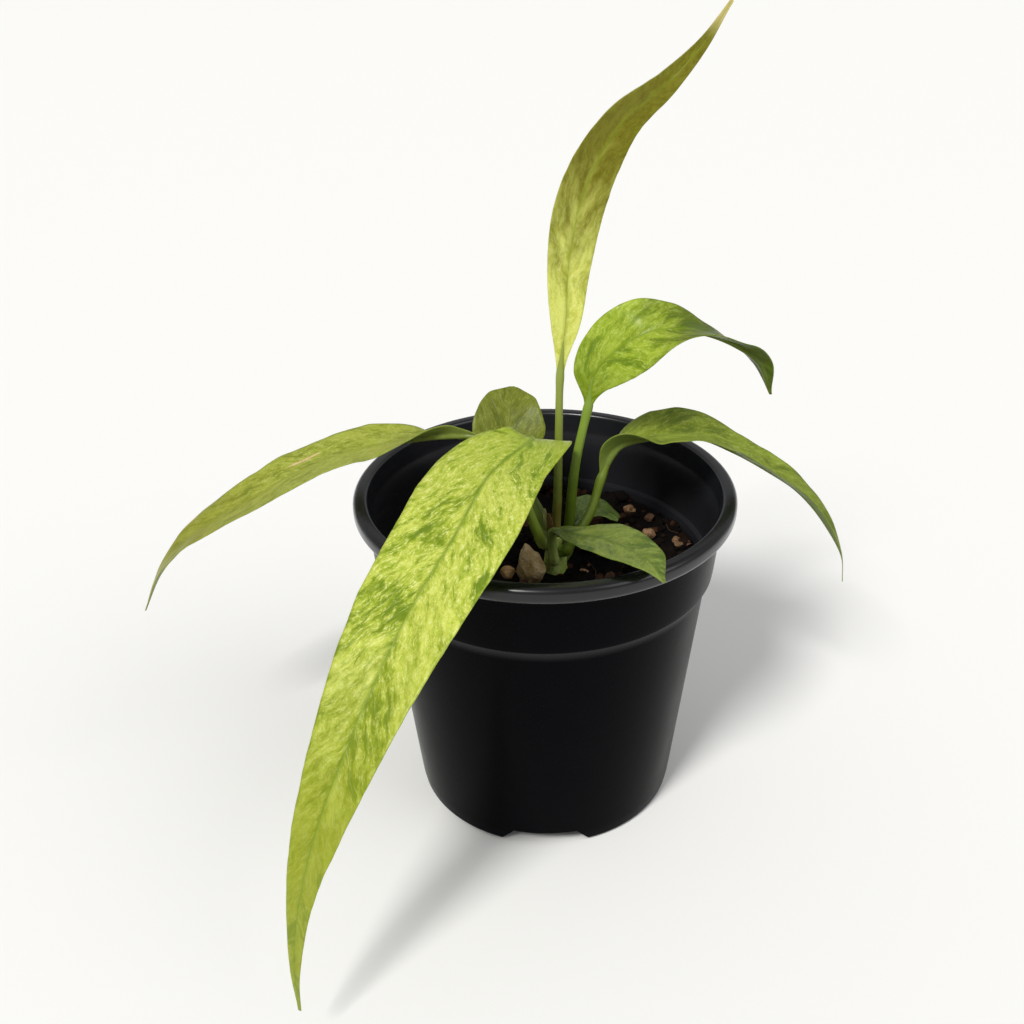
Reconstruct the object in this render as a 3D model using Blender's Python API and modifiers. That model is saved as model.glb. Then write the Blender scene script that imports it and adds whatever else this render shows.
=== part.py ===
"""A strap-leaved anthurium growing in a round nursery pot.

Run with: blender --background --python part.py

Units are metres, +Z is up, and the origin is the centre of the pot's flat base, on the surface that it
stands on. The plant's guide points are laid out in millimetres for a pot of LAYOUT_RADIUS: x and y from
the pot's axis, and height from the top of the rim.
"""

import math
import random

import bmesh
import bpy
from mathutils import Vector, noise

MM = 0.001

# Pot
RIM_RADIUS = 52.5 * MM
POT_HEIGHT = 96.5 * MM
BASE_RADIUS = 37.8 * MM
WALL = 1.2 * MM
RIM_HEIGHT = 4.6 * MM
RIM_CORNER = 1.6 * MM
COLLAR_DEPTH = 22.5 * MM
COLLAR_INSET = 3.0 * MM
COLLAR_DRAFT = 2.2 * MM
STEP = 1.5 * MM
BASE_FILLET = 1.5 * MM
TURNS = 48

# Drainage: raised notches round the foot, each with a hole through its shelf
NOTCHES = 4
NOTCH_WIDTH = 26.0 * MM
NOTCH_CROWN = 18.0 * MM
NOTCH_HEIGHT = 5.0 * MM
NOTCH_DEPTH = 11.0 * MM
DRAIN_RADIUS = 2.5 * MM

# Potting mix, and what lies on it
MIX_DROP = 23.0 * MM
MIX_BUMP = 0.9 * MM
MIX_EDGE = 1.26 * MM
GAP = 0.35 * MM

# Plant
CROWN_X, CROWN_Y = 3.0 * MM, -5.5 * MM
CROWN_RADIUS = 3.4 * MM
CROWN_RISE = 11.0 * MM
CROWN_ROOT = 8.0 * MM
PETIOLE_RADIUS = 1.35 * MM
PETIOLE_FOOT = 1.2
PETIOLE_TAPER = 0.35
BLADE_THICKNESS = 0.5 * MM
ROOTS = 6
ROOT_RADIUS = 1.1 * MM
FLOOR_CLEARANCE = 5.0 * MM

# The pot that the guide points were laid out for
LAYOUT_RADIUS = 52.5 * MM
LAYOUT_HEIGHT = 96.5 * MM
LAYOUT_DROP = 23.0 * MM
ARC_POINTS = 4

PLASTIC = ("pot_plastic", (0.012, 0.012, 0.015), 0.38)
MIX = ("potting_mix", (0.030, 0.018, 0.012), 0.95)
PUMICE = ("pumice", (0.42, 0.30, 0.19), 0.90)
PEBBLE = ("pebble", (0.16, 0.08, 0.045), 0.80)
LEAF = ("leaf", (0.42, 0.52, 0.10), 0.45)
STALK = ("petiole", (0.22, 0.36, 0.06), 0.40)
CROWN = ("crown", (0.20, 0.33, 0.07), 0.50)
SHEATH = ("sheath", (0.35, 0.25, 0.08), 0.70)
ROOT = ("root", (0.55, 0.45, 0.30), 0.80)

# Each leaf: the azimuth (degrees) and rise (in crown heights) at which its petiole leaves the crown, the
# petiole's further guide points, the azimuth of the blade's right-hand edge where it lies level, how far
# its halves fold up (degrees), and its sections from base to tip as (x, y, height, half width, roll).
LEAVES = {
    "tall": dict(
        leaves=(90, 1.0), petiole=[(3.5, -4.5, -4), (3.9, -2, 14)], side=0, fold=12,
        blade=[(4.3, 0, 34, 1.0, 0), (5.6, 1, 47.5, 4.0, 0), (6.3, 2, 61, 5.5, 0), (8.4, 3, 74.5, 6.3, 0),
               (12.7, 5, 86, 5.9, -4), (19.7, 7, 96.3, 4.6, -6), (29.2, 8, 104, 3.0, -2),
               (37.4, 9, 112.5, 1.5, 5), (43.6, 8, 122.3, 0.45, 5)]),
    "upper_right": dict(
        leaves=(25, 0.95), petiole=[(8.4, -2.5, 8)], side=-90, fold=10,
        blade=[(11.8, 0, 24.5, 1.2, -60), (13.3, -1, 33.5, 6.2, -62), (18.2, -2, 40.2, 8.8, -60),
               (25, -3, 45, 9.4, -50), (32.7, -3, 46.6, 8.6, -18), (40.6, -3, 45.6, 6.8, 5),
               (48.8, -3, 42.2, 5.6, 22), (55.5, -2, 36.8, 3.8, 40), (59.2, -1, 27.6, 0.45, 40)]),
    "lower_right": dict(
        leaves=(-50, 0.7), petiole=[(12.6, -4, -6)], side=-90, fold=20,
        blade=[(15.8, 0, 3, 1.0, 45), (20.4, 2, 11.2, 6.5, 32), (30.7, 4, 13, 9.0, -8),
               (41.6, 5, 12.8, 8.6, -4), (51.5, 5, 8.6, 7.6, 0), (61.2, 4, 3.2, 6.4, -2),
               (70.2, 2, -2.6, 5.4, -2), (77.6, 0, -11, 3.6, -8), (83.2, -2, -21.4, 0.45, -8)]),
    "left": dict(
        leaves=(150, 0.9), petiole=[(-7, 4.5, 1.5)], side=90, fold=10,
        blade=[(-18, 4, 12.6, 1.2, -58), (-25, 5, 13.2, 4.0, -52), (-35.5, 6, 11.9, 7.2, -12),
               (-47, 7, 9, 9.2, 6), (-58.7, 7, 5.6, 9.8, 7), (-70, 6, 0.9, 9.8, 9),
               (-80.2, 4, -4.6, 9.2, 12), (-91, 2, -10, 7.7, 12), (-101, 0, -16.7, 5.6, 10),
               (-110, -2, -26.2, 2.8, 10), (-115.7, -4, -38.1, 0.45, 10)]),
    "front": dict(
        leaves=(205, 0.85), petiole=[(-4.6, -6, -3), (-5.8, -2, 2)], side=150, fold=5,
        blade=[(-5.8, 1.4, 7.5, 1.2, 0), (-5.2, -0.4, 13.5, 2.8, 0), (-3, -8.4, 18.3, 10.5, 0),
               (-13.6, -24, 16, 15.0, 0), (-21.4, -44, 10, 15.7, 0), (-30.8, -61, 0.6, 14.4, 0),
               (-38.2, -74, -10, 12.0, 0), (-45, -85, -23, 9.4, 0), (-50.8, -93, -36.6, 6.8, 0),
               (-55.4, -99, -52.8, 3.8, 0), (-57.8, -103, -72, 1.4, 0), (-57.8, -104, -83.6, 0.45, 0)]),
    "back": dict(
        leaves=(95, 0.6), petiole=[(-2, 5, -9)], side=8, fold=8,
        blade=[(-7.5, 10, -2, 1.2, 0), (-9.5, 12, 4, 7.5, 0), (-10, 14.5, 9.5, 10.4, 0),
               (-9.6, 18, 14.2, 9.2, 0), (-9, 21.5, 17.2, 6.8, 0), (-8.6, 24.5, 19.2, 2.8, 0)]),
    "low_front": dict(
        leaves=(-95, 0.5), petiole=[], side=-141, fold=8,
        blade=[(2.2, -10.6, -8.5, 1.0, -10), (8.6, -19, -4.5, 4.0, -10), (14.8, -29, 0.2, 6.6, -10),
               (20.3, -38, 2.6, 6.2, -8), (25, -46, 3.8, 4.4, -5), (28.1, -53, 2.6, 0.45, 0)]),
    "low_back": dict(
        leaves=(45, 0.3), petiole=[], side=-75, fold=4,
        blade=[(9.2, 0, -12.5, 1.0, 0), (12.6, 4, -10.2, 7.0, 0), (17.5, 8, -12, 6.6, 0),
               (21.5, 9.6, -14.6, 2.4, 0)]),
}

# Dry sheaths that stand round the foot of the tall leaf's petiole, each at its own bearing. Their sections
# are (distance clear of the petiole, height over the crown, half width, roll).
SHEATHS = {
    "sheath_brown": dict(
        bearing=-133, side=-42, fold=-20,
        blade=[(0.5, 1.0, 1.3, 0), (0.5, 3.5, 1.3, 0), (0.7, 6.0, 1.0, 0), (1.2, 7.8, 0.45, 0)]),
    "sheath_pale": dict(
        bearing=156, side=0, fold=0,
        blade=[(0.55, 2.0, 0.6, 0), (0.85, 4.0, 0.8, 0), (1.2, 6.0, 0.6, 0), (1.45, 7.2, 0.4, 0)]),
}

# Stones on the mix: x and y from the pot's axis, the three half sizes, and the share left showing
STONES = {
    "pumice_large": (-3.8, -11.0, 4.2, 3.5, 5.6, 0.82),
    "pebble_brown": (-10.2, -9.6, 2.4, 2.2, 2.2, 0.70),
    "pumice_back": (-2.0, 33.5, 2.2, 2.0, 1.6, 0.70),
    "pumice_chip_1": (25.8, 27.0, 1.9, 1.6, 1.3, 0.70),
    "pumice_chip_2": (30.3, 12.0, 2.2, 1.8, 1.7, 0.70),
    "pumice_chip_3": (32.6, 1.0, 1.6, 1.4, 1.2, 0.70),
    "pumice_chip_4": (38.2, 8.5, 1.4, 1.6, 1.2, 0.70),
    "pumice_chip_5": (40.4, -1.5, 1.3, 1.5, 1.1, 0.70),
    "pumice_left": (-24.0, 10.0, 2.6, 2.1, 1.8, 0.70),
    "pumice_back_left": (-16.0, -24.0, 2.0, 1.7, 1.5, 0.70),
}

SIZE = RIM_RADIUS / LAYOUT_RADIUS
MIX_TOP = POT_HEIGHT - MIX_DROP
COLLAR_FOOT = POT_HEIGHT - COLLAR_DEPTH
LEDGE = COLLAR_FOOT + WALL
CROWN_TOP = MIX_TOP + CROWN_RISE


def clear_scene():
    for obj in list(bpy.data.objects):
        bpy.data.objects.remove(obj, do_unlink=True)


def new_collection(name, helpers=False):
    collection = bpy.data.collections.new(name)
    collection.hide_render = helpers
    bpy.context.scene.collection.children.link(collection)
    return collection


def material(look):
    name, color, roughness = look
    made = bpy.data.materials.get(name)
    if made is None:
        made = bpy.data.materials.new(name)
        made.use_nodes = True
        shader = made.node_tree.nodes["Principled BSDF"]
        shader.inputs["Base Color"].default_value = (*color, 1.0)
        shader.inputs["Roughness"].default_value = roughness
    return made


def add(name, data, look=None):
    """Adds an object: a sub-part when it has a look, and a hidden cutter otherwise."""
    obj = bpy.data.objects.new(name, data)
    if look is None:
        obj.hide_render = True
        obj.display_type = "WIRE"
        CUTTERS.objects.link(obj)
    else:
        data.materials.append(material(look))
        PLANT.objects.link(obj)
    return obj


def smooth(mesh):
    for polygon in mesh.polygons:
        polygon.use_smooth = True


def turned(name, profile, look=None, steps=TURNS):
    """A solid of revolution; the profile runs from the axis, out, down and back to the axis."""
    mesh = bpy.data.meshes.new(name)
    points = [(r, 0, z) for r, z in profile]
    mesh.from_pydata(points, [(i, i + 1) for i in range(len(points) - 1)], [])
    obj = add(name, mesh, look)
    turn = obj.modifiers.new("Turn", "SCREW")
    turn.steps = turn.render_steps = steps
    turn.use_merge_vertices = True
    turn.merge_threshold = 0.00001
    turn.use_smooth_shade = True
    return obj


def boolean(obj, other, operation="DIFFERENCE"):
    change = obj.modifiers.new(operation.title(), "BOOLEAN")
    change.operation = operation
    change.solver = "EXACT"
    change.object = other


def settle(obj):
    """Turns a curve, or an object's modifiers, into a plain mesh object of the same name."""
    graph = bpy.context.evaluated_depsgraph_get()
    mesh = bpy.data.meshes.new_from_object(obj.evaluated_get(graph))
    name, collections = obj.name, list(obj.users_collection)
    place, hidden, display = obj.matrix_world.copy(), obj.hide_render, obj.display_type
    bpy.data.objects.remove(obj, do_unlink=True)
    bm = bmesh.new()
    bm.from_mesh(mesh)
    bmesh.ops.remove_doubles(bm, verts=bm.verts, dist=0.000001)
    bmesh.ops.recalc_face_normals(bm, faces=bm.faces)
    bm.to_mesh(mesh)
    bm.free()
    settled = bpy.data.objects.new(name, mesh)
    for collection in collections:
        collection.objects.link(settled)
    settled.matrix_world, settled.hide_render, settled.display_type = place, hidden, display
    return settled


def corner(cx, cz, radius, start, end, points=ARC_POINTS):
    """Points of a rounded corner in the profile, from one angle to another."""
    steps = [math.radians(start + (end - start) * i / (points - 1)) for i in range(points)]
    return [(cx + radius * math.cos(a), cz + radius * math.sin(a)) for a in steps]


# Pot

def collar_radius(z):
    """Outside radius of the collar band at a height."""
    return RIM_RADIUS - COLLAR_INSET - COLLAR_DRAFT * (POT_HEIGHT - z) / COLLAR_DEPTH


def body_radius(z):
    """Outside radius of the tapered body at a height."""
    top = collar_radius(COLLAR_FOOT) - STEP
    return BASE_RADIUS + (top - BASE_RADIUS) * z / COLLAR_FOOT


def outside_profile():
    rim_foot = POT_HEIGHT - RIM_HEIGHT
    outer = RIM_RADIUS - RIM_CORNER
    return [
        (0, POT_HEIGHT),
        *corner(outer, POT_HEIGHT - RIM_CORNER, RIM_CORNER, 90, 0),
        *corner(outer, rim_foot + RIM_CORNER, RIM_CORNER, 0, -90),
        (collar_radius(rim_foot), rim_foot + 0.2 * MM),
        (collar_radius(COLLAR_FOOT + 0.5 * MM), COLLAR_FOOT + 0.5 * MM),
        (collar_radius(COLLAR_FOOT) - 0.4 * MM, COLLAR_FOOT),
        (body_radius(COLLAR_FOOT), COLLAR_FOOT),
        *corner(body_radius(0) - BASE_FILLET, BASE_FILLET, BASE_FILLET, 0, -90),
        (0, 0),
    ]


def inside_radius(z, clearance):
    """Radius of the cavity at a height, drawn in by a clearance."""
    outside = collar_radius(z) if z > LEDGE + clearance else body_radius(z)
    return outside - WALL - clearance


def inside_profile(clearance, top):
    """The cavity's outline from a height down to the floor, drawn in by a clearance."""
    lip = 1.0 * MM
    points = []
    if top > POT_HEIGHT:
        inner = collar_radius(POT_HEIGHT) - WALL
        points += [(0, top), (inner + lip, top), (inner + lip, POT_HEIGHT)]
        points += corner(inner + lip, POT_HEIGHT - lip, lip, 90, 180)[1:]
    if top > LEDGE + clearance + MIX_EDGE + 0.3 * MM:
        if top <= POT_HEIGHT:
            points += [(0, top), (collar_radius(top) - WALL - clearance, top)]
        shelf = LEDGE + clearance
        points += [(collar_radius(shelf) - WALL - clearance, shelf)]
        points += [(body_radius(shelf) - WALL - clearance, shelf)]
    else:
        points += [(0, top), (body_radius(top) - WALL - clearance, top)]
    fillet = BASE_FILLET
    floor = WALL + clearance
    reach = body_radius(floor + fillet) - WALL - clearance
    points += corner(reach - fillet, floor + fillet, fillet, 0, -90)
    points += [(0, floor)]
    return points


def notch_blocks(name, grow):
    """The four drainage notches as blocks, each face moved out by a distance."""
    slope = (NOTCH_WIDTH - NOTCH_CROWN) / 2 / NOTCH_HEIGHT
    spread = grow * math.hypot(1, slope)
    low, high = -1.0 * MM - grow, NOTCH_HEIGHT + grow
    near, far = BASE_RADIUS - NOTCH_DEPTH - grow, RIM_RADIUS
    bm = bmesh.new()
    for i in range(NOTCHES):
        turn = math.radians(-90 + 360 * i / NOTCHES)
        block = bmesh.ops.create_cube(bm, size=1)["verts"]
        for vert in block:
            z = high if vert.co.z > 0 else low
            half = NOTCH_WIDTH / 2 - slope * z + spread
            x = far if vert.co.x > 0 else near
            y = half if vert.co.y > 0 else -half
            vert.co = (x * math.cos(turn) - y * math.sin(turn), x * math.sin(turn) + y * math.cos(turn), z)
    mesh = bpy.data.meshes.new(name)
    bm.to_mesh(mesh)
    bm.free()
    return add(name, mesh)


def drain_holes():
    bm = bmesh.new()
    middle = NOTCH_HEIGHT + WALL / 2
    reach = BASE_RADIUS - WALL - NOTCH_DEPTH / 2
    for i in range(NOTCHES):
        turn = math.radians(-90 + 360 * i / NOTCHES)
        hole = bmesh.ops.create_cone(
            bm, cap_ends=True, segments=16, radius1=DRAIN_RADIUS, radius2=DRAIN_RADIUS, depth=WALL * 4)
        for vert in hole["verts"]:
            vert.co += Vector((reach * math.cos(turn), reach * math.sin(turn), middle))
    mesh = bpy.data.meshes.new("drain_holes")
    bm.to_mesh(mesh)
    bm.free()
    return add("drain_holes", mesh)


def make_pot():
    pot = turned("nursery_pot", outside_profile(), PLASTIC)
    cavity = turned("cavity", inside_profile(0, POT_HEIGHT + 2 * MM))
    boolean(cavity, notch_blocks("shelf_blocks", WALL))
    boolean(pot, cavity)
    boolean(pot, notch_blocks("notches", 0))
    boolean(pot, drain_holes())
    return pot


# Plant

def layout(point):
    """A guide point in place. Heights above the rim follow the pot's radius, heights inside the pot follow
    the drop to the mix, and heights outside it follow the pot's height."""
    x, y, h = point
    if h >= 0:
        rise = h * SIZE
    elif math.hypot(x, y) * MM < LAYOUT_RADIUS:
        rise = h * MIX_DROP / LAYOUT_DROP
    else:
        rise = h * POT_HEIGHT / LAYOUT_HEIGHT
    return Vector((x * MM * SIZE, y * MM * SIZE, POT_HEIGHT + rise * MM))


def spline(points, per_span=12):
    """A smooth path through the points (centripetal, so that it never loops back)."""
    ends = [points[0] * 2 - points[1], *points, points[-1] * 2 - points[-2]]
    path = []
    for i in range(len(points) - 1):
        a, b, c, d = ends[i:i + 4]
        t1 = max((b - a).length, 1e-6) ** 0.5
        t2 = t1 + max((c - b).length, 1e-6) ** 0.5
        t3 = t2 + max((d - c).length, 1e-6) ** 0.5
        for j in range(per_span + (i == len(points) - 2)):
            t = t1 + (t2 - t1) * j / per_span
            p = a.lerp(b, t / t1)
            q = b.lerp(c, (t - t1) / (t2 - t1))
            r = c.lerp(d, (t - t2) / (t3 - t2))
            s = p.lerp(q, t / t2)
            u = q.lerp(r, (t - t1) / (t3 - t1))
            path.append(s.lerp(u, (t - t1) / (t2 - t1)))
    return path


def between(values, knot):
    """A value read smoothly between the sections, without overshoot past them."""
    i = min(int(knot), len(values) - 2)
    before, a, b = values[max(i - 1, 0)], values[i], values[i + 1]
    after = values[min(i + 2, len(values) - 1)]
    t = knot - i
    rise_a, rise_b = (b - before) / 2, (after - a) / 2
    bend = 3 * (b - a) - 2 * rise_a - rise_b
    value = a + (rise_a + (bend + (rise_a + rise_b - 2 * (b - a)) * t) * t) * t
    return min(max(value, min(a, b)), max(a, b))


def along(path, share):
    """The point, direction and place in the list at a share of the path's length."""
    lengths = [0.0]
    for a, b in zip(path, path[1:]):
        lengths.append(lengths[-1] + (b - a).length)
    want = share * lengths[-1]
    i = 0
    while i < len(path) - 2 and lengths[i + 1] < want:
        i += 1
    part = (want - lengths[i]) / (lengths[i + 1] - lengths[i])
    before, after = path[max(i - 1, 0)], path[min(i + 2, len(path) - 1)]
    return path[i].lerp(path[i + 1], part), (after - before).normalized(), i + part


def crown_radius(z):
    """The crown's radius at a height: widest at the mix, drawn in towards its top."""
    return CROWN_RADIUS * (1.0 - 0.42 * max(0.0, (z - MIX_TOP) / CROWN_RISE) ** 1.3)


def petiole_start(azimuth, rise):
    """Where a petiole leaves the crown: on its top, or at its side."""
    z = MIX_TOP + rise * CROWN_RISE
    reach = 0.0 if rise >= 1 else crown_radius(z) + GAP + PETIOLE_RADIUS * PETIOLE_FOOT
    turn = math.radians(azimuth)
    lift = GAP * 2 if rise >= 1 else 0.0
    return Vector((CROWN_X + reach * math.cos(turn), CROWN_Y + reach * math.sin(turn), z + lift))


def tube(name, points, radii, look=None, resolution=2):
    """A round stalk through the points, closed at both ends."""
    curve = bpy.data.curves.new(name, "CURVE")
    curve.dimensions = "3D"
    curve.bevel_depth = 1.0
    curve.bevel_resolution = resolution
    curve.use_fill_caps = True
    line = curve.splines.new("POLY")
    line.points.add(len(points) - 1)
    for place, point, radius in zip(line.points, points, radii):
        place.co = (*point, 1)
        place.radius = radius
    return add(name, curve, look)


def blade(name, path, leaf, look=LEAF):
    """A thin leaf blade whose midrib follows the path."""
    halves = [section[-2] * MM * SIZE for section in leaf["blade"]]
    rolls = [section[-1] for section in leaf["blade"]]
    azimuth = math.radians(leaf["side"])
    fold = math.radians(leaf["fold"])
    bm = bmesh.new()
    rows = 4 + 2 * len(halves)
    bmesh.ops.create_grid(bm, x_segments=4, y_segments=rows, size=0.5)
    for vert in bm.verts:
        across, share = vert.co.x * 2, min(max(vert.co.y + 0.5, 0), 1)
        middle, forward, place = along(path, share)
        knot = place / 12
        side = Vector((math.cos(azimuth), math.sin(azimuth), 0))
        side = (side - forward * side.dot(forward)).normalized()
        up = side.cross(forward)
        roll = math.radians(between(rolls, knot))
        side, up = side * math.cos(roll) + up * math.sin(roll), up * math.cos(roll) - side * math.sin(roll)
        width = between(halves, knot)
        lift = width * abs(across) ** 1.3 * math.sin(fold)
        vert.co = middle + side * (width * across * math.cos(fold)) + up * lift
    mesh = bpy.data.meshes.new(name)
    bm.to_mesh(mesh)
    bm.free()
    smooth(mesh)
    obj = add(name, mesh, look)
    body = obj.modifiers.new("Body", "SOLIDIFY")
    body.thickness = BLADE_THICKNESS
    body.offset = 0
    return obj


def make_leaf(name, leaf):
    start = petiole_start(*leaf["leaves"])
    stalk = [layout(p) for p in leaf["petiole"]]
    guides = [start, *stalk, *[layout(p[:3]) for p in leaf["blade"]]]
    path = spline(guides)
    cut = 12 * (1 + len(stalk))
    stem = path[:cut + 1]
    length = sum((b - a).length for a, b in zip(stem, stem[1:]))
    shares = [i / 7 * (1 - 2 * GAP / length) for i in range(8)]
    radii = [PETIOLE_RADIUS * (PETIOLE_FOOT - PETIOLE_TAPER * s) for s in shares]
    tube(name + "_petiole", [along(stem, s)[0] for s in shares], radii, STALK)
    blade(name + "_blade", path[cut:], leaf)


def make_sheath(name, sheath):
    turn = math.radians(sheath["bearing"])
    outward = Vector((math.cos(turn), math.sin(turn), 0))
    foot = Vector((CROWN_X, CROWN_Y, CROWN_TOP)) + outward * (PETIOLE_RADIUS * PETIOLE_FOOT + GAP)
    points = [foot + outward * out * MM + Vector((0, 0, up * MM)) for out, up, _, _ in sheath["blade"]]
    blade(name, spline(points), sheath, SHEATH)


def crown_profile(clearance):
    foot = MIX_TOP - CROWN_ROOT - clearance
    top = CROWN_TOP
    levels = [top - 0.5 * MM, top - 2 * MM, top - 5 * MM, MIX_TOP + 2 * MM, MIX_TOP, MIX_TOP - 3 * MM]
    points = [(0, top), (crown_radius(top) - 0.4 * MM + clearance, top)]
    points += [(crown_radius(z) + clearance, z) for z in levels]
    points += [(CROWN_RADIUS * 0.8 + clearance, foot), (0, foot)]
    return points


def make_crown():
    crown = turned("crown", crown_profile(0), CROWN, steps=20)
    crown.location = (CROWN_X, CROWN_Y, 0)
    return crown


def root_points(i):
    """The way of one root: out and down from the foot of the crown, clear of the pot's floor."""
    turn = math.radians(360 * i / ROOTS + 25)
    top = MIX_TOP - CROWN_ROOT - GAP * 2 - 2.5 * MM
    floor = NOTCH_HEIGHT + WALL + FLOOR_CLEARANCE
    reach = BASE_RADIUS * (0.62 + 0.10 * math.sin(i * 2.4))
    points = []
    for share in (0, 0.12, 0.3, 0.5, 0.72, 1.0):
        out = reach * (1 - (1 - share) ** 2)
        swing = turn + 0.5 * math.sin(3 * share + i)
        z = top - (top - floor) * share ** 1.35
        centre = Vector((CROWN_X, CROWN_Y, 0)) * (1 - share)
        points.append(centre + Vector((out * math.cos(swing), out * math.sin(swing), z)))
    return points


def make_roots(name, clearance, look=None):
    """The rootstock under the crown with its thick roots, as one body."""
    top = MIX_TOP - CROWN_ROOT - GAP * 2
    radius = CROWN_RADIUS * 0.75
    profile = [(0, top + clearance), (radius + clearance, top + clearance),
               (radius + clearance, top - 4.5 * MM - clearance), (0, top - 5.5 * MM - clearance)]
    stock = turned(name, profile, look, steps=16)
    stock.location = (CROWN_X, CROWN_Y, 0)
    for i in range(ROOTS):
        points = spline(root_points(i), 2)
        radii = [(ROOT_RADIUS * (1 - 0.45 * j / len(points)) + clearance) for j in range(len(points))]
        if clearance:
            points[-1] = points[-1] + (points[-1] - points[-2]).normalized() * clearance
        boolean(stock, settle(tube(f"{name}_{i + 1}_way", points, radii, resolution=1)), "UNION")
    return stock


def stone(name, spec, clearance, look=None):
    """A rough stone, sunk a little into the mix."""
    x, y, a, b, c, shown = spec
    rng = random.Random(name.replace("_seat", ""))
    shift = Vector([rng.uniform(-9, 9) for _ in range(3)])
    bm = bmesh.new()
    bmesh.ops.create_icosphere(bm, subdivisions=2, radius=1)
    for vert in bm.verts:
        rough = 1 + 0.2 * noise.noise(vert.co * 1.6 + shift)
        point = vert.co * rough
        vert.co = Vector((point.x * a, point.y * b, point.z * c)) * MM * SIZE + vert.co * clearance
    mesh = bpy.data.meshes.new(name)
    bm.to_mesh(mesh)
    bm.free()
    obj = add(name, mesh, look)
    obj.location = (x * MM * SIZE, y * MM * SIZE, MIX_TOP + (2 * shown - 1) * c * MM * SIZE)
    return obj


def make_mix():
    rim = MIX_TOP - MIX_EDGE
    reach = inside_radius(rim, GAP)
    edge = reach - MIX_BUMP
    rings = [(edge * i / 6, MIX_TOP) for i in range(7)]
    profile = [*rings, (reach, rim), *inside_profile(GAP, MIX_TOP)[2:]]
    mix = settle(turned("potting_mix", profile, MIX, TURNS // 2))
    for vert in mix.data.vertices:
        inside = math.hypot(vert.co.x, vert.co.y) < edge * 0.99
        if inside and vert.co.z > MIX_TOP - 0.2 * MM:
            vert.co.z += MIX_BUMP * noise.noise(vert.co * 140)
    boolean(mix, notch_blocks("mix_blocks", WALL + GAP))
    seat = turned("crown_seat", crown_profile(GAP), steps=20)
    seat.location = (CROWN_X, CROWN_Y, 0)
    boolean(mix, seat)
    boolean(mix, make_roots("root_ways", GAP))
    for name, spec in STONES.items():
        boolean(mix, stone(name + "_seat", spec, GAP))
    return mix


clear_scene()
PLANT = new_collection("potted_anthurium")
CUTTERS = new_collection("cutters", helpers=True)

make_pot()
make_mix()
make_crown()
make_roots("roots", 0, ROOT)
for stone_name, stone_spec in STONES.items():
    stone(stone_name, stone_spec, 0, PEBBLE if "pebble" in stone_name else PUMICE)
for leaf_name, leaf_spec in LEAVES.items():
    make_leaf(leaf_name, leaf_spec)
for sheath_name, sheath_spec in SHEATHS.items():
    make_sheath(sheath_name, sheath_spec)
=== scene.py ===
"""A strap-leaved anthurium in its nursery pot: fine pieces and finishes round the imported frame.

The plant, the pot and the mix are laid out in millimetres, and MM turns them to metres where a mesh is
made. Finishes and the studio are in metres. The origin is the centre of the pot's base, +Z is up, and
the front of the plant faces -Y.
"""

import logging
import math
import random
from contextlib import contextmanager
from dataclasses import dataclass, fields
from enum import Enum
from typing import Callable, Iterator, Optional, Sequence

import bmesh
import bpy
from mathutils import Matrix, Quaternion, Vector, noise


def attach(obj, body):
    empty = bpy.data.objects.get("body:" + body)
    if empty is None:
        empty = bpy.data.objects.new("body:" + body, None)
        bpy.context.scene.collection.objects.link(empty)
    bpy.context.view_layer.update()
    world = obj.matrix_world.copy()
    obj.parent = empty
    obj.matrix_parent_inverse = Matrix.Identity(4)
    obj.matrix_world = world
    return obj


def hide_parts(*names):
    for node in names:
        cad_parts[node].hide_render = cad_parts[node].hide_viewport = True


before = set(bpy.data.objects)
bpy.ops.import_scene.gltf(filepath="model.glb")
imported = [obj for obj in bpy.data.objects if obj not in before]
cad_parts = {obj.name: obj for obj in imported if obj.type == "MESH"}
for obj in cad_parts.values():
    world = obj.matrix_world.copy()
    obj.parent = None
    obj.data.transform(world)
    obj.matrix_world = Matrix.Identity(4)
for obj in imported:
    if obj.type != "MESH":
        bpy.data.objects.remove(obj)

LOG = logging.getLogger("anthurium")
MM = 0.001
BODY = "root"
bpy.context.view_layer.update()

Rgb = tuple[float, float, float]
Point = tuple[float, float, float]

SPAN_STEPS = 24  # steps of a path from one guide point to the next
MERGE_DISTANCE = 0.000002
TINY = 1e-6


# --------------------------------------------------------------------------------------- curves

def spline(points: Sequence[Vector], per_span: int = SPAN_STEPS) -> list[Vector]:
    """Runs a smooth centripetal path through guide points.

    Args:
        points: The guide points, in order.
        per_span: Steps between one guide point and the next.

    Returns:
        The points of the path.
    """
    ends = [points[0] * 2 - points[1], *points, points[-1] * 2 - points[-2]]
    path = []
    for i in range(len(points) - 1):
        a, b, c, d = ends[i:i + 4]
        t1 = max((b - a).length, TINY) ** 0.5
        t2 = t1 + max((c - b).length, TINY) ** 0.5
        t3 = t2 + max((d - c).length, TINY) ** 0.5
        for j in range(per_span + (i == len(points) - 2)):
            t = t1 + (t2 - t1) * j / per_span
            p, q = a.lerp(b, t / t1), b.lerp(c, (t - t1) / (t2 - t1))
            r = c.lerp(d, (t - t2) / (t3 - t2))
            path.append(p.lerp(q, t / t2).lerp(q.lerp(r, (t - t1) / (t3 - t1)), (t - t1) / (t2 - t1)))
    return path


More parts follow.
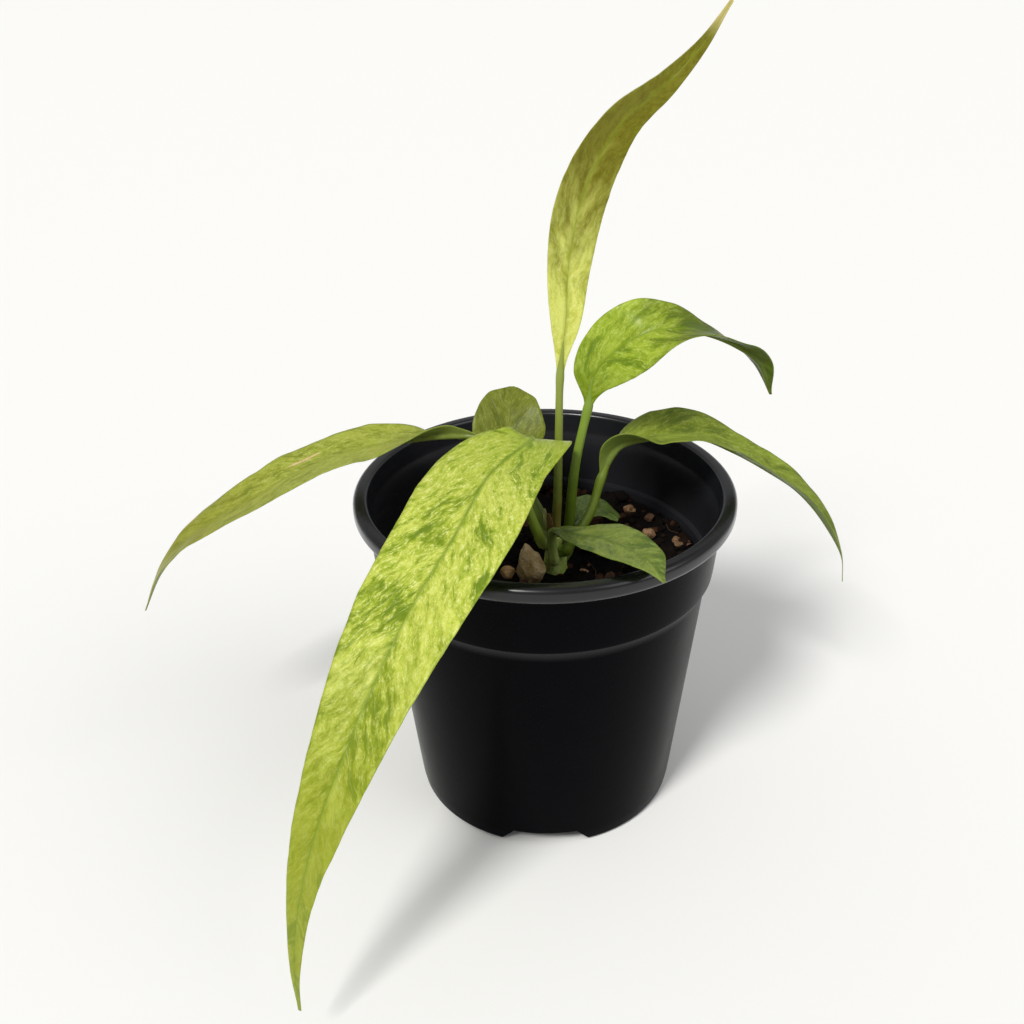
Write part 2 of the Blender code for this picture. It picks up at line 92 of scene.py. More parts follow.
def between(values: Sequence[float], knot: float) -> float:
    """Reads a value smoothly between sections, without overshoot past them.

    Args:
        values: One value for each section.
        knot: The place along the sections, counted in sections.

    Returns:
        The value there.
    """
    i = min(int(knot), len(values) - 2)
    before, after = values[max(i - 1, 0)], values[min(i + 2, len(values) - 1)]
    a, b = values[i], values[i + 1]
    t = knot - i
    rise_a, rise_b = (b - before) / 2, (after - a) / 2
    bend, twist = 3 * (b - a) - 2 * rise_a - rise_b, rise_a + rise_b - 2 * (b - a)
    value = a + (rise_a + (bend + twist * t) * t) * t
    return min(max(value, min(a, b)), max(a, b))


def polar(reach: float, turn: float) -> tuple[float, float]:
    """Gives x and y at a distance from the axis and an angle in radians."""
    return reach * math.cos(turn), reach * math.sin(turn)


def smooth_step(low: float, high: float, value: float) -> float:
    """Rises smoothly from 0 at low to 1 at high."""
    t = min(max((value - low) / (high - low), 0.0), 1.0)
    return t * t * (3 - 2 * t)


class Path:
    """A measured path: points, directions and section knots by share of its length."""

    def __init__(self, points: Sequence[Vector], per_span: int) -> None:
        """Measures the path.

        Args:
            points: The points of the path.
            per_span: How many of its steps make one section.
        """
        self.points = list(points)
        self.per_span = per_span
        self.lengths = [0.0]
        for a, b in zip(self.points, self.points[1:]):
            self.lengths.append(self.lengths[-1] + (b - a).length)
        self.length = self.lengths[-1]

    def at(self, share: float) -> tuple[Vector, Vector, float]:
        """Reads the path at a share of its length.

        Args:
            share: 0 at the start and 1 at the end.

        Returns:
            The point, the direction and the knot there.
        """
        want = min(max(share, 0.0), 1.0) * self.length
        low, high = 0, len(self.points) - 2
        while low < high:
            middle = (low + high + 1) // 2
            low, high = (middle, high) if self.lengths[middle] <= want else (low, middle - 1)
        part = (want - self.lengths[low]) / (self.lengths[low + 1] - self.lengths[low])
        before, after = self.points[max(low - 1, 0)], self.points[min(low + 2, len(self.points) - 1)]
        point = self.points[low].lerp(self.points[low + 1], part)
        return point, (after - before).normalized(), (low + part) / self.per_span


# ------------------------------------------------------------------------------------ workbench

class Bench:
    """Makes pieces from primitives with Blender's own operators."""

    @staticmethod
    def clear() -> None:
        """Deselects everything, so that operators touch only the new primitive."""
        if bpy.context.object and bpy.context.object.mode != "OBJECT":
            bpy.ops.object.mode_set(mode="OBJECT")
        bpy.ops.object.select_all(action="DESELECT")

    @staticmethod
    def start(primitive: Callable, **settings: object) -> bpy.types.Object:
        """Adds a primitive with nothing else selected.

        Args:
            primitive: Blender's operator that adds it.
            settings: The operator's settings.

        Returns:
            The primitive.
        """
        Bench.clear()
        primitive(**settings)
        return bpy.context.object

    @staticmethod
    def link(name: str, data: bpy.types.ID) -> bpy.types.Object:
        """Makes an object of some data and links it to the scene."""
        made = bpy.data.objects.new(name, data)
        bpy.context.scene.collection.objects.link(made)
        return made

    @staticmethod
    @contextmanager
    def editing(piece: bpy.types.Object) -> Iterator[None]:
        """Opens a piece in edit mode with all of it selected, and closes it again."""
        bpy.context.view_layer.objects.active = piece
        piece.select_set(True)
        bpy.ops.object.mode_set(mode="EDIT")
        bpy.ops.mesh.select_all(action="SELECT")
        try:
            yield
        finally:
            bpy.ops.object.mode_set(mode="OBJECT")

    @staticmethod
    def reshape(piece: bpy.types.Object, move: Callable[[Vector], Vector]) -> None:
        """Moves every vertex of a piece.

        Args:
            piece: The piece to shape.
            move: Gives a vertex's new place from its old one.
        """
        mesh = piece.data
        places = [c for vertex in mesh.vertices for c in move(vertex.co.copy())]
        mesh.vertices.foreach_set("co", places)
        mesh.update()

    @staticmethod
    def mark(piece: bpy.types.Object, name: str, values: Sequence[Sequence[float]]) -> None:
        """Stores a vector at each vertex, as an attribute that a material can read."""
        made = piece.data.attributes.new(name, "FLOAT_VECTOR", "POINT")
        made.data.foreach_set("vector", [c for value in values for c in value])

    @staticmethod
    def modify(piece: bpy.types.Object, kind: str, **settings: object) -> None:
        """Adds a modifier and applies it.

        Args:
            piece: The piece to change.
            kind: The modifier's type.
            settings: Its settings by name.
        """
        bpy.context.view_layer.objects.active = piece
        modifier = piece.modifiers.new(kind.title(), kind)
        for name, value in settings.items():
            setattr(modifier, name, value)
        bpy.ops.object.modifier_apply(modifier=modifier.name)

    @staticmethod
    def close(piece: bpy.types.Object) -> None:
        """Merges doubled vertices and turns the faces outwards."""
        with Bench.editing(piece):
            bpy.ops.mesh.remove_doubles(threshold=MERGE_DISTANCE)
            bpy.ops.mesh.normals_make_consistent(inside=False)

    @staticmethod
    def settle(piece: bpy.types.Object, name: str, angle: float = 180.0) -> bpy.types.Object:
        """Names a piece, applies its place and shades it smooth.

        Args:
            piece: The finished piece.
            name: Its name.
            angle: Edges sharper than this many degrees stay crisp.

        Returns:
            The same piece.
        """
        Bench.clear()
        piece.select_set(True)
        bpy.context.view_layer.objects.active = piece
        bpy.ops.object.transform_apply(location=True, rotation=True, scale=True)
        if angle < 180:
            bpy.ops.object.shade_smooth_by_angle(angle=math.radians(angle))
        else:
            bpy.ops.object.shade_smooth()
        piece.name = piece.data.name = name
        return piece

    @staticmethod
    def lathe(name: str, profile: Sequence[tuple[float, float]], sides: int, angle: float = 180.0,
              centre: tuple[float, float] = (0.0, 0.0)) -> bpy.types.Object:
        """Turns a solid by extruding and scaling a ring of vertices from level to level.

        Args:
            name: The piece's name.
            profile: (radius, height) in millimetres from the first ring to the last; both ends close.
            sides: Vertices in a ring.
            angle: Edges sharper than this many degrees stay crisp.
            centre: The axis, as x and y in millimetres.

        Returns:
            The closed piece.
        """
        profile = [(r * MM, z * MM) for r, z in profile]
        axis = [c * MM for c in centre]
        first, height = profile[0]
        piece = Bench.start(bpy.ops.mesh.primitive_circle_add, vertices=sides, radius=first,
                            fill_type="TRIFAN", location=(*axis, height))
        bpy.ops.object.transform_apply(location=True, rotation=True, scale=True)
        with Bench.editing(piece):
            bm = bmesh.from_edit_mesh(piece.data)
            rim = [edge for edge in bm.edges if edge.is_boundary]
            for face in bm.faces:
                face.select = False
            for edge in rim:
                edge.select = True
            bmesh.update_edit_mesh(piece.data)
            bpy.ops.mesh.select_mode(type="EDGE")
            for (r0, z0), (r1, z1) in zip(profile, profile[1:]):
                bpy.ops.mesh.extrude_region_move(TRANSFORM_OT_translate={"value": (0, 0, z1 - z0)})
                bpy.ops.transform.resize(value=(r1 / r0, r1 / r0, 1), center_override=(*axis, z1))
            bpy.ops.mesh.select_mode(type="VERT")
            bpy.ops.mesh.extrude_region_move(TRANSFORM_OT_translate={"value": (0, 0, 0)})
            bpy.ops.mesh.merge(type="CENTER")
        Bench.close(piece)
        return Bench.settle(piece, name, angle)

    @staticmethod
    def tube(name: str, path: Path, radius: Callable[[float, float], float], rings: int,
             sides: int) -> bpy.types.Object:
        """Bends a cylinder along a path.

        Args:
            name: The piece's name.
            path: The path of its middle.
            radius: Gives the radius from the share along and the angle round.
            rings: Rings of vertices along it.
            sides: Vertices in a ring.

        Returns:
            The closed tube, with a "stalk" attribute: (cosine of the turn, share along, its sine).
        """
        piece = Bench.start(bpy.ops.mesh.primitive_grid_add, x_subdivisions=sides, y_subdivisions=rings,
                            size=1)
        side = path.at(0)[1].orthogonal().normalized()
        frames = []
        for i in range(rings + 1):
            middle, forward, _ = path.at(i / rings)
            side = (side - forward * side.dot(forward)).normalized()
            frames.append((middle, side.copy(), forward.cross(side)))

        def wrap(place: Vector) -> Vector:
            """Rolls the flat grid into the tube."""
            share, turn = place.y + 0.5, (place.x + 0.5) * math.tau
            middle, out, over = frames[round(share * rings)]
            return middle + (out * math.cos(turn) + over * math.sin(turn)) * radius(share, turn)

        turns = [((v.co.x + 0.5) * math.tau, v.co.y + 0.5) for v in piece.data.vertices]
        Bench.mark(piece, "stalk", [(math.cos(turn), share, math.sin(turn)) for turn, share in turns])
        Bench.reshape(piece, wrap)
        with Bench.editing(piece):
            bpy.ops.mesh.remove_doubles(threshold=MERGE_DISTANCE)
            bpy.ops.mesh.select_all(action="DESELECT")
            bpy.ops.mesh.select_mode(type="EDGE")
            bpy.ops.mesh.select_non_manifold(extend=False, use_wire=False, use_multi_face=False,
                                             use_non_contiguous=False, use_verts=False)
            bpy.ops.mesh.fill_holes(sides=0)
            bpy.ops.mesh.select_all(action="SELECT")
            bpy.ops.mesh.normals_make_consistent(inside=False)
        return Bench.settle(piece, name, 60)

    @staticmethod
    def join(pieces: Sequence[bpy.types.Object], name: str) -> bpy.types.Object:
        """Joins pieces into one.

        Args:
            pieces: The pieces.
            name: The joined piece's name.

        Returns:
            The joined piece.
        """
        Bench.clear()
        for piece in pieces:
            piece.select_set(True)
        bpy.context.view_layer.objects.active = pieces[0]
        bpy.ops.object.join()
        pieces[0].name = pieces[0].data.name = name
        return pieces[0]

    @staticmethod
    def cut(piece: bpy.types.Object, tool: bpy.types.Object) -> None:
        """Takes one solid away from another and drops the tool."""
        Bench.modify(piece, "BOOLEAN", operation="DIFFERENCE", solver="EXACT", object=tool)
        bpy.data.objects.remove(tool, do_unlink=True)


def put(piece: bpy.types.Object, slot: str, finish: "Finish", *nodes: str) -> bpy.types.Object:
    """Dresses a piece, rides it on the plant's body and hides the nodes that it stands for.

    Args:
        piece: The finished piece.
        slot: The record's material slot; it is not used.
        finish: Its finish.
        nodes: The nodes that it replaces.

    Returns:
        The same piece.
    """
    piece.data.materials.clear()
    piece.data.materials.append(finish.material())
    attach(piece, BODY)
    if nodes:
        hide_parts(*nodes)
    LOG.info("%s: %d faces", piece.name, len(piece.data.polygons))
    return piece


# ------------------------------------------------------------------------------------- finishes

Value = object  # a node socket, a number or a colour


class Nodes:
    """Short calls for building a shader node tree."""

    def __init__(self, tree: bpy.types.NodeTree) -> None:
        """Keeps the tree that the nodes go in."""
        self.tree = tree

    def add(self, kind: str, values: Optional[dict] = None, **settings: object) -> bpy.types.Node:
        """Adds a node.

        Args:
            kind: The node's type, without its "ShaderNode" prefix.
            values: What feeds its inputs, by name or number.
            settings: The node's own settings.

        Returns:
            The node.
        """
        node = self.tree.nodes.new("ShaderNode" + kind)
        for name, value in settings.items():
            setattr(node, name, value)
        self.dress(node, values or {})
        return node

    def feed(self, socket: bpy.types.NodeSocket, value: Value) -> None:
        """Links a socket to another socket, or sets its number or colour."""
        if isinstance(value, bpy.types.NodeSocket):
            self.tree.links.new(value, socket)
        elif socket.type == "RGBA" and len(value) == 3:
            socket.default_value = (*value, 1.0)
        else:
            socket.default_value = value

    def dress(self, node: bpy.types.Node, values: dict) -> None:
        """Feeds several of a node's inputs, by name or number."""
        for name, value in values.items():
            self.feed(node.inputs[name], value)

    def math(self, operation: str, *values: Value) -> bpy.types.NodeSocket:
        """Adds a Math node and returns its result."""
        return self.add("Math", dict(enumerate(values)), operation=operation).outputs[0]

    def plus(self, total: Value, *others: Value) -> bpy.types.NodeSocket:
        """Adds numbers up."""
        for other in others:
            total = self.math("ADD", total, other)
        return total

    def times(self, product: Value, *others: Value) -> bpy.types.NodeSocket:
        """Multiplies numbers."""
        for other in others:
            product = self.math("MULTIPLY", product, other)
        return product

    def minus(self, a: Value, b: Value) -> bpy.types.NodeSocket:
        """Takes the second number from the first."""
        return self.math("SUBTRACT", a, b)

    def mix(self, factor: Value, a: Value, b: Value, blend: str = "MIX") -> bpy.types.NodeSocket:
        """Mixes two colours and returns the result."""
        node = self.add("Mix", data_type="RGBA", blend_type=blend, clamp_factor=True)
        for index, value in ((0, factor), (6, a), (7, b)):
            self.feed(node.inputs[index], value)
        return node.outputs[2]

    def step(self, value: Value, low: Value, high: Value) -> bpy.types.NodeSocket:
        """Rises smoothly from 0 at low to 1 at high."""
        return self.add("MapRange", {"Value": value, "From Min": low, "From Max": high},
                        interpolation_type="SMOOTHSTEP").outputs[0]

    def fall(self, value: Value, low: Value, high: Value) -> bpy.types.NodeSocket:
        """Falls smoothly from 1 at low to 0 at high."""
        return self.minus(1.0, self.step(value, low, high))

    def noise(self, vector: Value, scale: Value, detail: float = 3.0,
              rough: float = 0.55) -> bpy.types.NodeSocket:
        """Adds a Noise texture and returns its value."""
        return self.add("TexNoise", {"Vector": vector, "Scale": scale, "Detail": detail,
                                     "Roughness": rough}).outputs["Fac"]

    def vector(self, x: Value, y: Value, z: Value) -> bpy.types.NodeSocket:
        """Joins three numbers into a vector."""
        return self.add("CombineXYZ", {"X": x, "Y": y, "Z": z}).outputs[0]

    def split(self, vector: Value) -> bpy.types.NodeOutputs:
        """Takes a vector apart into "X", "Y" and "Z"."""
        return self.add("SeparateXYZ", {"Vector": vector}).outputs

    def read(self, attribute: str) -> bpy.types.NodeSocket:
        """Reads one of the piece's own vector attributes."""
        return self.add("Attribute", attribute_name=attribute).outputs["Vector"]

    def place(self) -> bpy.types.NodeSocket:
        """Gives the piece's own coordinates in metres."""
        return self.add("TexCoord").outputs["Object"]

    def bump(self, height: Value, distance: float, strength: float = 1.0) -> bpy.types.NodeSocket:
        """Turns a height into a normal."""
        return self.add("Bump", {"Height": height, "Distance": distance,
                                 "Strength": strength}).outputs[0]

    def use(self, group: bpy.types.NodeTree, **values: Value) -> dict[str, bpy.types.NodeSocket]:
        """Places a node group.

        Args:
            group: The group.
            values: What feeds its inputs: tip_amount feeds "Tip Amount".

        Returns:
            Its outputs by name.
        """
        node = self.add("Group")
        node.node_tree = group
        for name, value in values.items():
            self.feed(node.inputs[name.replace("_", " ").title()], value)
        return {socket.name: socket for socket in node.outputs}


Sockets = dict[str, bpy.types.NodeSocket]
FLOAT, COLOR, VECTOR = "NodeSocketFloat", "NodeSocketColor", "NodeSocketVector"


def shader_group(name: str, inputs: dict[str, str], outputs: dict[str, str],
                 build: Callable[[Nodes, Sockets], Sockets]) -> bpy.types.NodeTree:
    """Builds a node group once and gives it back each later time.

    Args:
        name: The group's name.
        inputs: Its inputs and their socket types.
        outputs: Its outputs and their socket types.
        build: Wires the inside, from the input sockets to the output values.

    Returns:
        The group.
    """
    if name in bpy.data.node_groups:
        return bpy.data.node_groups[name]
    group = bpy.data.node_groups.new(name, "ShaderNodeTree")
    for word, kind in inputs.items():
        group.interface.new_socket(word, in_out="INPUT", socket_type=kind)
    for word, kind in outputs.items():
        group.interface.new_socket(word, in_out="OUTPUT", socket_type=kind)
    start, end = group.nodes.new("NodeGroupInput"), group.nodes.new("NodeGroupOutput")
    made = build(Nodes(group), {socket.name: socket for socket in start.outputs if socket.name})
    for word, value in made.items():
        group.links.new(value, end.inputs[word])
    return group


def mottling() -> bpy.types.NodeTree:
    """Cloudy variation between two colours with a fine grain, for stone, bark, stem and root."""
    def build(nodes: Nodes, given: Sockets) -> Sockets:
        """Wires the mottling."""
        broad = nodes.noise(given["Vector"], given["Scale"], 4, 0.6)
        fine = nodes.noise(given["Vector"], nodes.times(given["Scale"], 5.0), 3, 0.65)
        cloud, grain = nodes.step(broad, 0.35, 0.68), nodes.step(fine, 0.3, 0.7)
        colour = nodes.mix(cloud, given["Dark"], given["Light"])
        shade = nodes.mix(nodes.times(grain, given["Grain"]), colour, given["Dark"])
        height = nodes.plus(nodes.times(cloud, 0.6), nodes.times(grain, 0.4))
        return {"Color": shade, "Height": height, "Mask": cloud}
    inputs = {"Vector": VECTOR, "Scale": FLOAT, "Dark": COLOR, "Light": COLOR, "Grain": FLOAT}
    return shader_group("mottling", inputs, {"Color": COLOR, "Height": FLOAT, "Mask": FLOAT}, build)


def dusting() -> bpy.types.NodeTree:
    """Specks and a thin film of dust over a colour."""
    def build(nodes: Nodes, given: Sockets) -> Sockets:
        """Wires the dust."""
        film = nodes.step(nodes.noise(given["Vector"], 90.0, 5, 0.7), 0.42, 0.8)
        speck = nodes.step(nodes.noise(given["Vector"], 900.0, 2, 0.5), 0.71, 0.76)
        mask = nodes.times(nodes.math("MAXIMUM", nodes.times(film, 0.35), speck), given["Amount"])
        return {"Color": nodes.mix(mask, given["Color"], given["Dust"]), "Mask": mask}
    return shader_group("dusting", {"Vector": VECTOR, "Color": COLOR, "Dust": COLOR, "Amount": FLOAT},
                        {"Color": COLOR, "Mask": FLOAT}, build)


VEIN_SLOPE = 1.45  # how far a side vein climbs for each millimetre outwards
# waves per millimetre along and across the streaks of a leaf, and the noise's detail
REGION, COARSE, FLECK, FINE = (0.035, 0.08, 2), (0.10, 0.34, 3), (0.42, 0.95, 4), (1.4, 2.6, 4)


def leaf_pattern() -> bpy.types.NodeTree:
    """Variegation of a strap leaf: blotches and flecks that follow its side veins, and a midrib.

    "Flat" is the place on the leaf laid flat, in millimetres across and along. "Edge" is 0 at the
    midrib and 1 at the margin, and "Reach" is 0 at the base and 1 at the tip.
    """
    def build(nodes: Nodes, given: Sockets) -> Sockets:
        """Wires the variegation."""
        flat = nodes.split(given["Flat"])
        across, along = flat["X"], flat["Y"]
        out = nodes.math("ABSOLUTE", across)
        seed = nodes.plus(given["Seed"], nodes.times(nodes.math("SIGN", across), 40.0))
        wobble = nodes.times(nodes.noise(nodes.vector(across, along, seed), 0.10, 2), 5.0)
        # places along a streak (run) and across it (rank), with the streaks leaning out from the midrib
        length = nodes.math("SQRT", nodes.plus(1.0, nodes.math("POWER", given["Slant"], 2.0)))
        rank = nodes.minus(along, nodes.times(out, given["Slant"]))
        rank = nodes.plus(nodes.math("DIVIDE", rank, length), wobble)
        run = nodes.plus(out, nodes.times(along, given["Slant"]))
        run = nodes.math("DIVIDE", run, length)

        def streaks(by_run: float, by_rank: float, detail: float) -> bpy.types.NodeSocket:
            """Noise drawn out along the streaks; the first two numbers are its waves per millimetre."""
            at = nodes.vector(nodes.times(run, by_run), nodes.times(rank, by_rank), seed)
            return nodes.noise(at, 1.0, detail, 0.62)

        def part(value: bpy.types.NodeSocket, share: float) -> bpy.types.NodeSocket:
            """A noise's swing about its middle, times a share."""
            return nodes.times(nodes.minus(value, 0.5), share)

        region, coarse, fleck, fine = [streaks(*waves) for waves in (REGION, COARSE, FLECK, FINE)]
        patch = nodes.plus(coarse, part(fleck, 0.30), part(fine, 0.10), part(region, 0.70))
        patch_from = nodes.minus(0.74, given["Blotch"])
        blotch = nodes.step(patch, patch_from, nodes.plus(patch_from, 0.20))
        flecks = nodes.plus(fleck, part(fine, 0.55), part(coarse, 0.8), part(region, 0.6))
        fleck_from = nodes.minus(0.57, given["Fleck"])
        mottle = nodes.step(flecks, fleck_from, nodes.plus(fleck_from, 0.48))
        colour = nodes.mix(mottle, given["Pale"], given["Mid"])
        glint = nodes.fall(nodes.plus(fine, part(fleck, 0.8)), 0.30, 0.46)
        light = nodes.mix(0.5, given["Pale"], (0.95, 0.97, 0.62))
        colour = nodes.mix(nodes.times(glint, given["Glint"]), colour, light)
        colour = nodes.mix(nodes.times(blotch, given["Depth"]), colour, given["Deep"])
        # the base and the tip turn towards the darker colours, and the very end is dry; the darker tip
        # is partly the leaf's own colour and partly painted shade, where a blade's end turns away from
        # the light
        base = nodes.fall(nodes.plus(given["Reach"], part(coarse, 0.30)), 0.02, 0.26)
        base = nodes.times(base, given["Base Amount"])
        shade = nodes.mix(nodes.times(mottle, 0.6), given["Mid"], given["Deep"])
        colour = nodes.mix(base, colour, shade)
        tip = nodes.step(nodes.plus(given["Reach"], part(coarse, 0.45)), given["Tip From"],
                         nodes.plus(given["Tip From"], 0.45))
        tip = nodes.times(tip, given["Tip Amount"])
        shade = nodes.mix(nodes.times(blotch, 0.45), given["Tip"], given["Deep"])
        shade = nodes.mix(nodes.times(nodes.minus(1.0, mottle), 0.18), shade, given["Mid"])
        colour = nodes.mix(tip, colour, shade)
        dry = nodes.times(nodes.step(given["Reach"], 0.90, 0.965), given["Dry Tip"])
        colour = nodes.mix(dry, colour, given["Scar"])
        # side veins: faint lines that leave the midrib and bend towards the tip
        vein = nodes.plus(nodes.minus(along, nodes.times(out, VEIN_SLOPE)), wobble)
        ridge = nodes.math("ABSOLUTE", nodes.math("SINE", nodes.times(vein, 0.62)))
        line = nodes.times(nodes.fall(ridge, 0.0, 0.16), nodes.fall(given["Edge"], 0.55, 1.0))
        colour = nodes.mix(nodes.times(line, given["Vein Amount"]), colour, given["Vein"])
        # midrib: a green band, fading to the tip, with a darker line along its middle
        fade = nodes.minus(1.15, given["Reach"])
        band = nodes.times(nodes.fall(out, 0.25, 1.15), fade, given["Rib Amount"])
        colour = nodes.mix(band, colour, given["Rib"])
        core = nodes.times(nodes.fall(out, 0.05, 0.30), 0.35)
        colour = nodes.mix(core, colour, given["Deep"])
        # scars: dry tan scratches and spots
        at = nodes.vector(nodes.times(across, 0.40), nodes.times(along, 0.05), nodes.plus(seed, 90.0))
        spot = nodes.plus(nodes.noise(at, 1.0, 3, 0.6), part(fine, 0.25))
        scar = nodes.times(nodes.step(spot, 0.66, 0.74), given["Scars"])
        colour = nodes.mix(scar, colour, given["Scar"])
        margin = nodes.times(nodes.step(given["Edge"], 0.965, 1.0), 0.25)
        colour = nodes.mix(margin, colour, given["Mid"])
        # the underside is duller, but the darker tip, partly painted shade, is dark on both sides
        dull = nodes.minus(0.62, nodes.times(tip, 0.42))
        colour = nodes.mix(given["Below"], colour, nodes.mix(dull, colour, given["Under"]))
        groove = nodes.times(line, nodes.times(given["Vein Amount"], -3.3))
        height = nodes.plus(nodes.times(fine, 0.35), groove, nodes.times(scar, 0.5))
        rough = nodes.plus(nodes.times(mottle, -0.05), nodes.times(scar, 0.3), given["Roughness"])
        return {"Color": colour, "Height": height, "Roughness": rough}
    colours = ("Pale", "Mid", "Deep", "Rib", "Vein", "Tip", "Scar", "Under")
    numbers = ("Edge", "Reach", "Below", "Seed", "Slant", "Blotch", "Fleck", "Depth", "Tip Amount",
               "Tip From", "Base Amount", "Dry Tip", "Glint", "Vein Amount", "Rib Amount", "Scars",
               "Roughness")
    inputs = {"Flat": VECTOR, **dict.fromkeys(colours, COLOR), **dict.fromkeys(numbers, FLOAT)}
    return shader_group("leaf_pattern", inputs, {"Color": COLOR, "Height": FLOAT, "Roughness": FLOAT},
                        build)


@dataclass(frozen=True)
class Finish:
    """A finish with a name; each kind says how its material is wired."""

    name: str

    def material(self) -> bpy.types.Material:
        """Gives the material, made the first time it is asked for."""
        if self.name in bpy.data.materials:
            return bpy.data.materials[self.name]
        made = bpy.data.materials.new(self.name)
        made.use_nodes = True
        self.wire(Nodes(made.node_tree), made.node_tree.nodes["Principled BSDF"])
        return made

    def wire(self, nodes: Nodes, shader: bpy.types.Node) -> None:
        """Wires the finish into its shader."""
        raise NotImplementedError


@dataclass(frozen=True)
class PotPlastic(Finish):
    """Satin black moulded plastic with a little dust.

    The inside of the collar, above the mix, and the rim are glossier. The inside of the collar is also
    painted
    lighter than the outside: painted light on a wall that lies in shade. "inner" and "draft" give a
    cone through the middle of the collar's wall: its radius at no height and its slope. The two lines
    are heights over which a gloss sets in.
    """

    colour: Rgb = (0.0010, 0.0010, 0.0020)
    # painted light: the lighter base colour of the collar's inner wall, which lies in shade
    within: Rgb = (0.018, 0.018, 0.020)
    dust: Rgb = (0.10, 0.09, 0.08)
    amount: float = 0.015
    draft: float = 0.0978
    inner: float = 0.0394
    mix_line: tuple[float, float] = (0.070, 0.074)
    rim_line: tuple[float, float] = (0.0905, 0.0925)
    inner_coat: float = 0.45

    def wire(self, nodes: Nodes, shader: bpy.types.Node) -> None:
        """Wires the plastic: broad changes of gloss, a fine skin and specks."""
        place = nodes.place()
        dust = nodes.use(dusting(), Vector=place, Color=self.colour, Dust=self.dust, Amount=self.amount)
        cloud = nodes.noise(place, 60.0, 3, 0.5)
        rough = nodes.plus(nodes.times(cloud, 0.14), 0.17, nodes.times(dust["Mask"], 0.5))
        skin = nodes.plus(nodes.times(nodes.noise(place, 1400.0, 2, 0.5), 0.6),
                          nodes.times(nodes.noise(place, 180.0, 2, 0.5), 0.4))
        at = nodes.split(place)
        reach = nodes.math("SQRT", nodes.plus(nodes.math("POWER", at["X"], 2.0),
                                              nodes.math("POWER", at["Y"], 2.0)))
        wall = nodes.plus(nodes.times(at["Z"], self.draft), self.inner)
        # the inside of the collar above the mix, which takes the painted light and a coat
        within = nodes.times(nodes.math("LESS_THAN", reach, wall), nodes.step(at["Z"], *self.mix_line))
        rim = nodes.step(at["Z"], *self.rim_line)
        # the base colour is lighter inside the collar: painted light on a wall in shade
        nodes.dress(shader, {
            "Base Color": nodes.mix(within, dust["Color"], self.within), "Roughness": rough,
            "Normal": nodes.bump(skin, 0.00006), "Specular IOR Level": 0.03,
            "Coat Weight": nodes.math("MAXIMUM", nodes.times(within, self.inner_coat), rim),
            "Coat Roughness": 0.27, "Coat Tint": (0.86, 0.92, 1.0)})


@dataclass(frozen=True)
class Earthy(Finish):
    """A rough, mottled solid such as bark, stone, mix or root; a toned one differs from bit to bit."""

    dark: Rgb = (0.02, 0.012, 0.008)
    light: Rgb = (0.05, 0.03, 0.02)
    scale: float = 300.0
    grain: float = 0.4
    relief: float = 0.0003
    roughness: float = 0.85
    toned: bool = False
    other: Rgb = (0.1, 0.05, 0.03)

    def wire(self, nodes: Nodes, shader: bpy.types.Node) -> None:
        """Wires the mottling, and a tone for each copy where the piece has one."""
        made = nodes.use(mottling(), Vector=nodes.place(), Scale=self.scale, Dark=self.dark,
                         Light=self.light, Grain=self.grain)
        colour = made["Color"]
        if self.toned:
            tone = nodes.add("Attribute", attribute_name="tone").outputs["Fac"]
            colour = nodes.mix(nodes.step(tone, 0.55, 1.0), colour, self.other)
            colour = nodes.mix(nodes.times(nodes.step(tone, 0.35, 0.0), 0.7), colour, self.dark)
        nodes.dress(shader, {
            "Base Color": colour, "Normal": nodes.bump(made["Height"], self.relief),
            "Roughness": nodes.plus(nodes.times(made["Mask"], 0.12), self.roughness - 0.06),
            "Specular IOR Level": 0.12})


@dataclass(frozen=True)
class Stalk(Finish):
    """A smooth green stalk, from a base colour to a top colour, with fine lengthwise lines."""

    base: Rgb = (0.16, 0.26, 0.04)
    top: Rgb = (0.26, 0.40, 0.06)
    foot: Rgb = (0.20, 0.15, 0.04)
    foot_share: float = 0.06

    def wire(self, nodes: Nodes, shader: bpy.types.Node) -> None:
        """Wires the change along the stalk and its lines."""
        at = nodes.split(nodes.read("stalk"))
        along = at["Y"]
        cloud = nodes.noise(nodes.place(), 160.0, 4, 0.6)
        colour = nodes.mix(nodes.step(along, 0.1, 0.9), self.base, self.top)
        foot = nodes.fall(nodes.minus(along, nodes.times(cloud, 0.10)), 0.0, self.foot_share)
        colour = nodes.mix(nodes.times(foot, 0.85), colour, self.foot)
        colour = nodes.mix(nodes.times(nodes.step(cloud, 0.45, 0.75), 0.35), colour, self.top)
        line = nodes.noise(nodes.vector(nodes.times(at["X"], 5.0), nodes.times(along, 3.0),
                                        nodes.times(at["Z"], 5.0)), 1.0, 2, 0.5)
        colour = nodes.mix(nodes.times(nodes.step(line, 0.5, 0.8), 0.25), colour, self.base)
        nodes.dress(shader, {
            "Base Color": colour, "Roughness": nodes.plus(nodes.times(cloud, 0.15), 0.32),
            "Normal": nodes.bump(line, 0.00008), "Subsurface Weight": 0.12,
            "Subsurface Radius": (0.6, 1.0, 0.25), "Subsurface Scale": 0.0015})


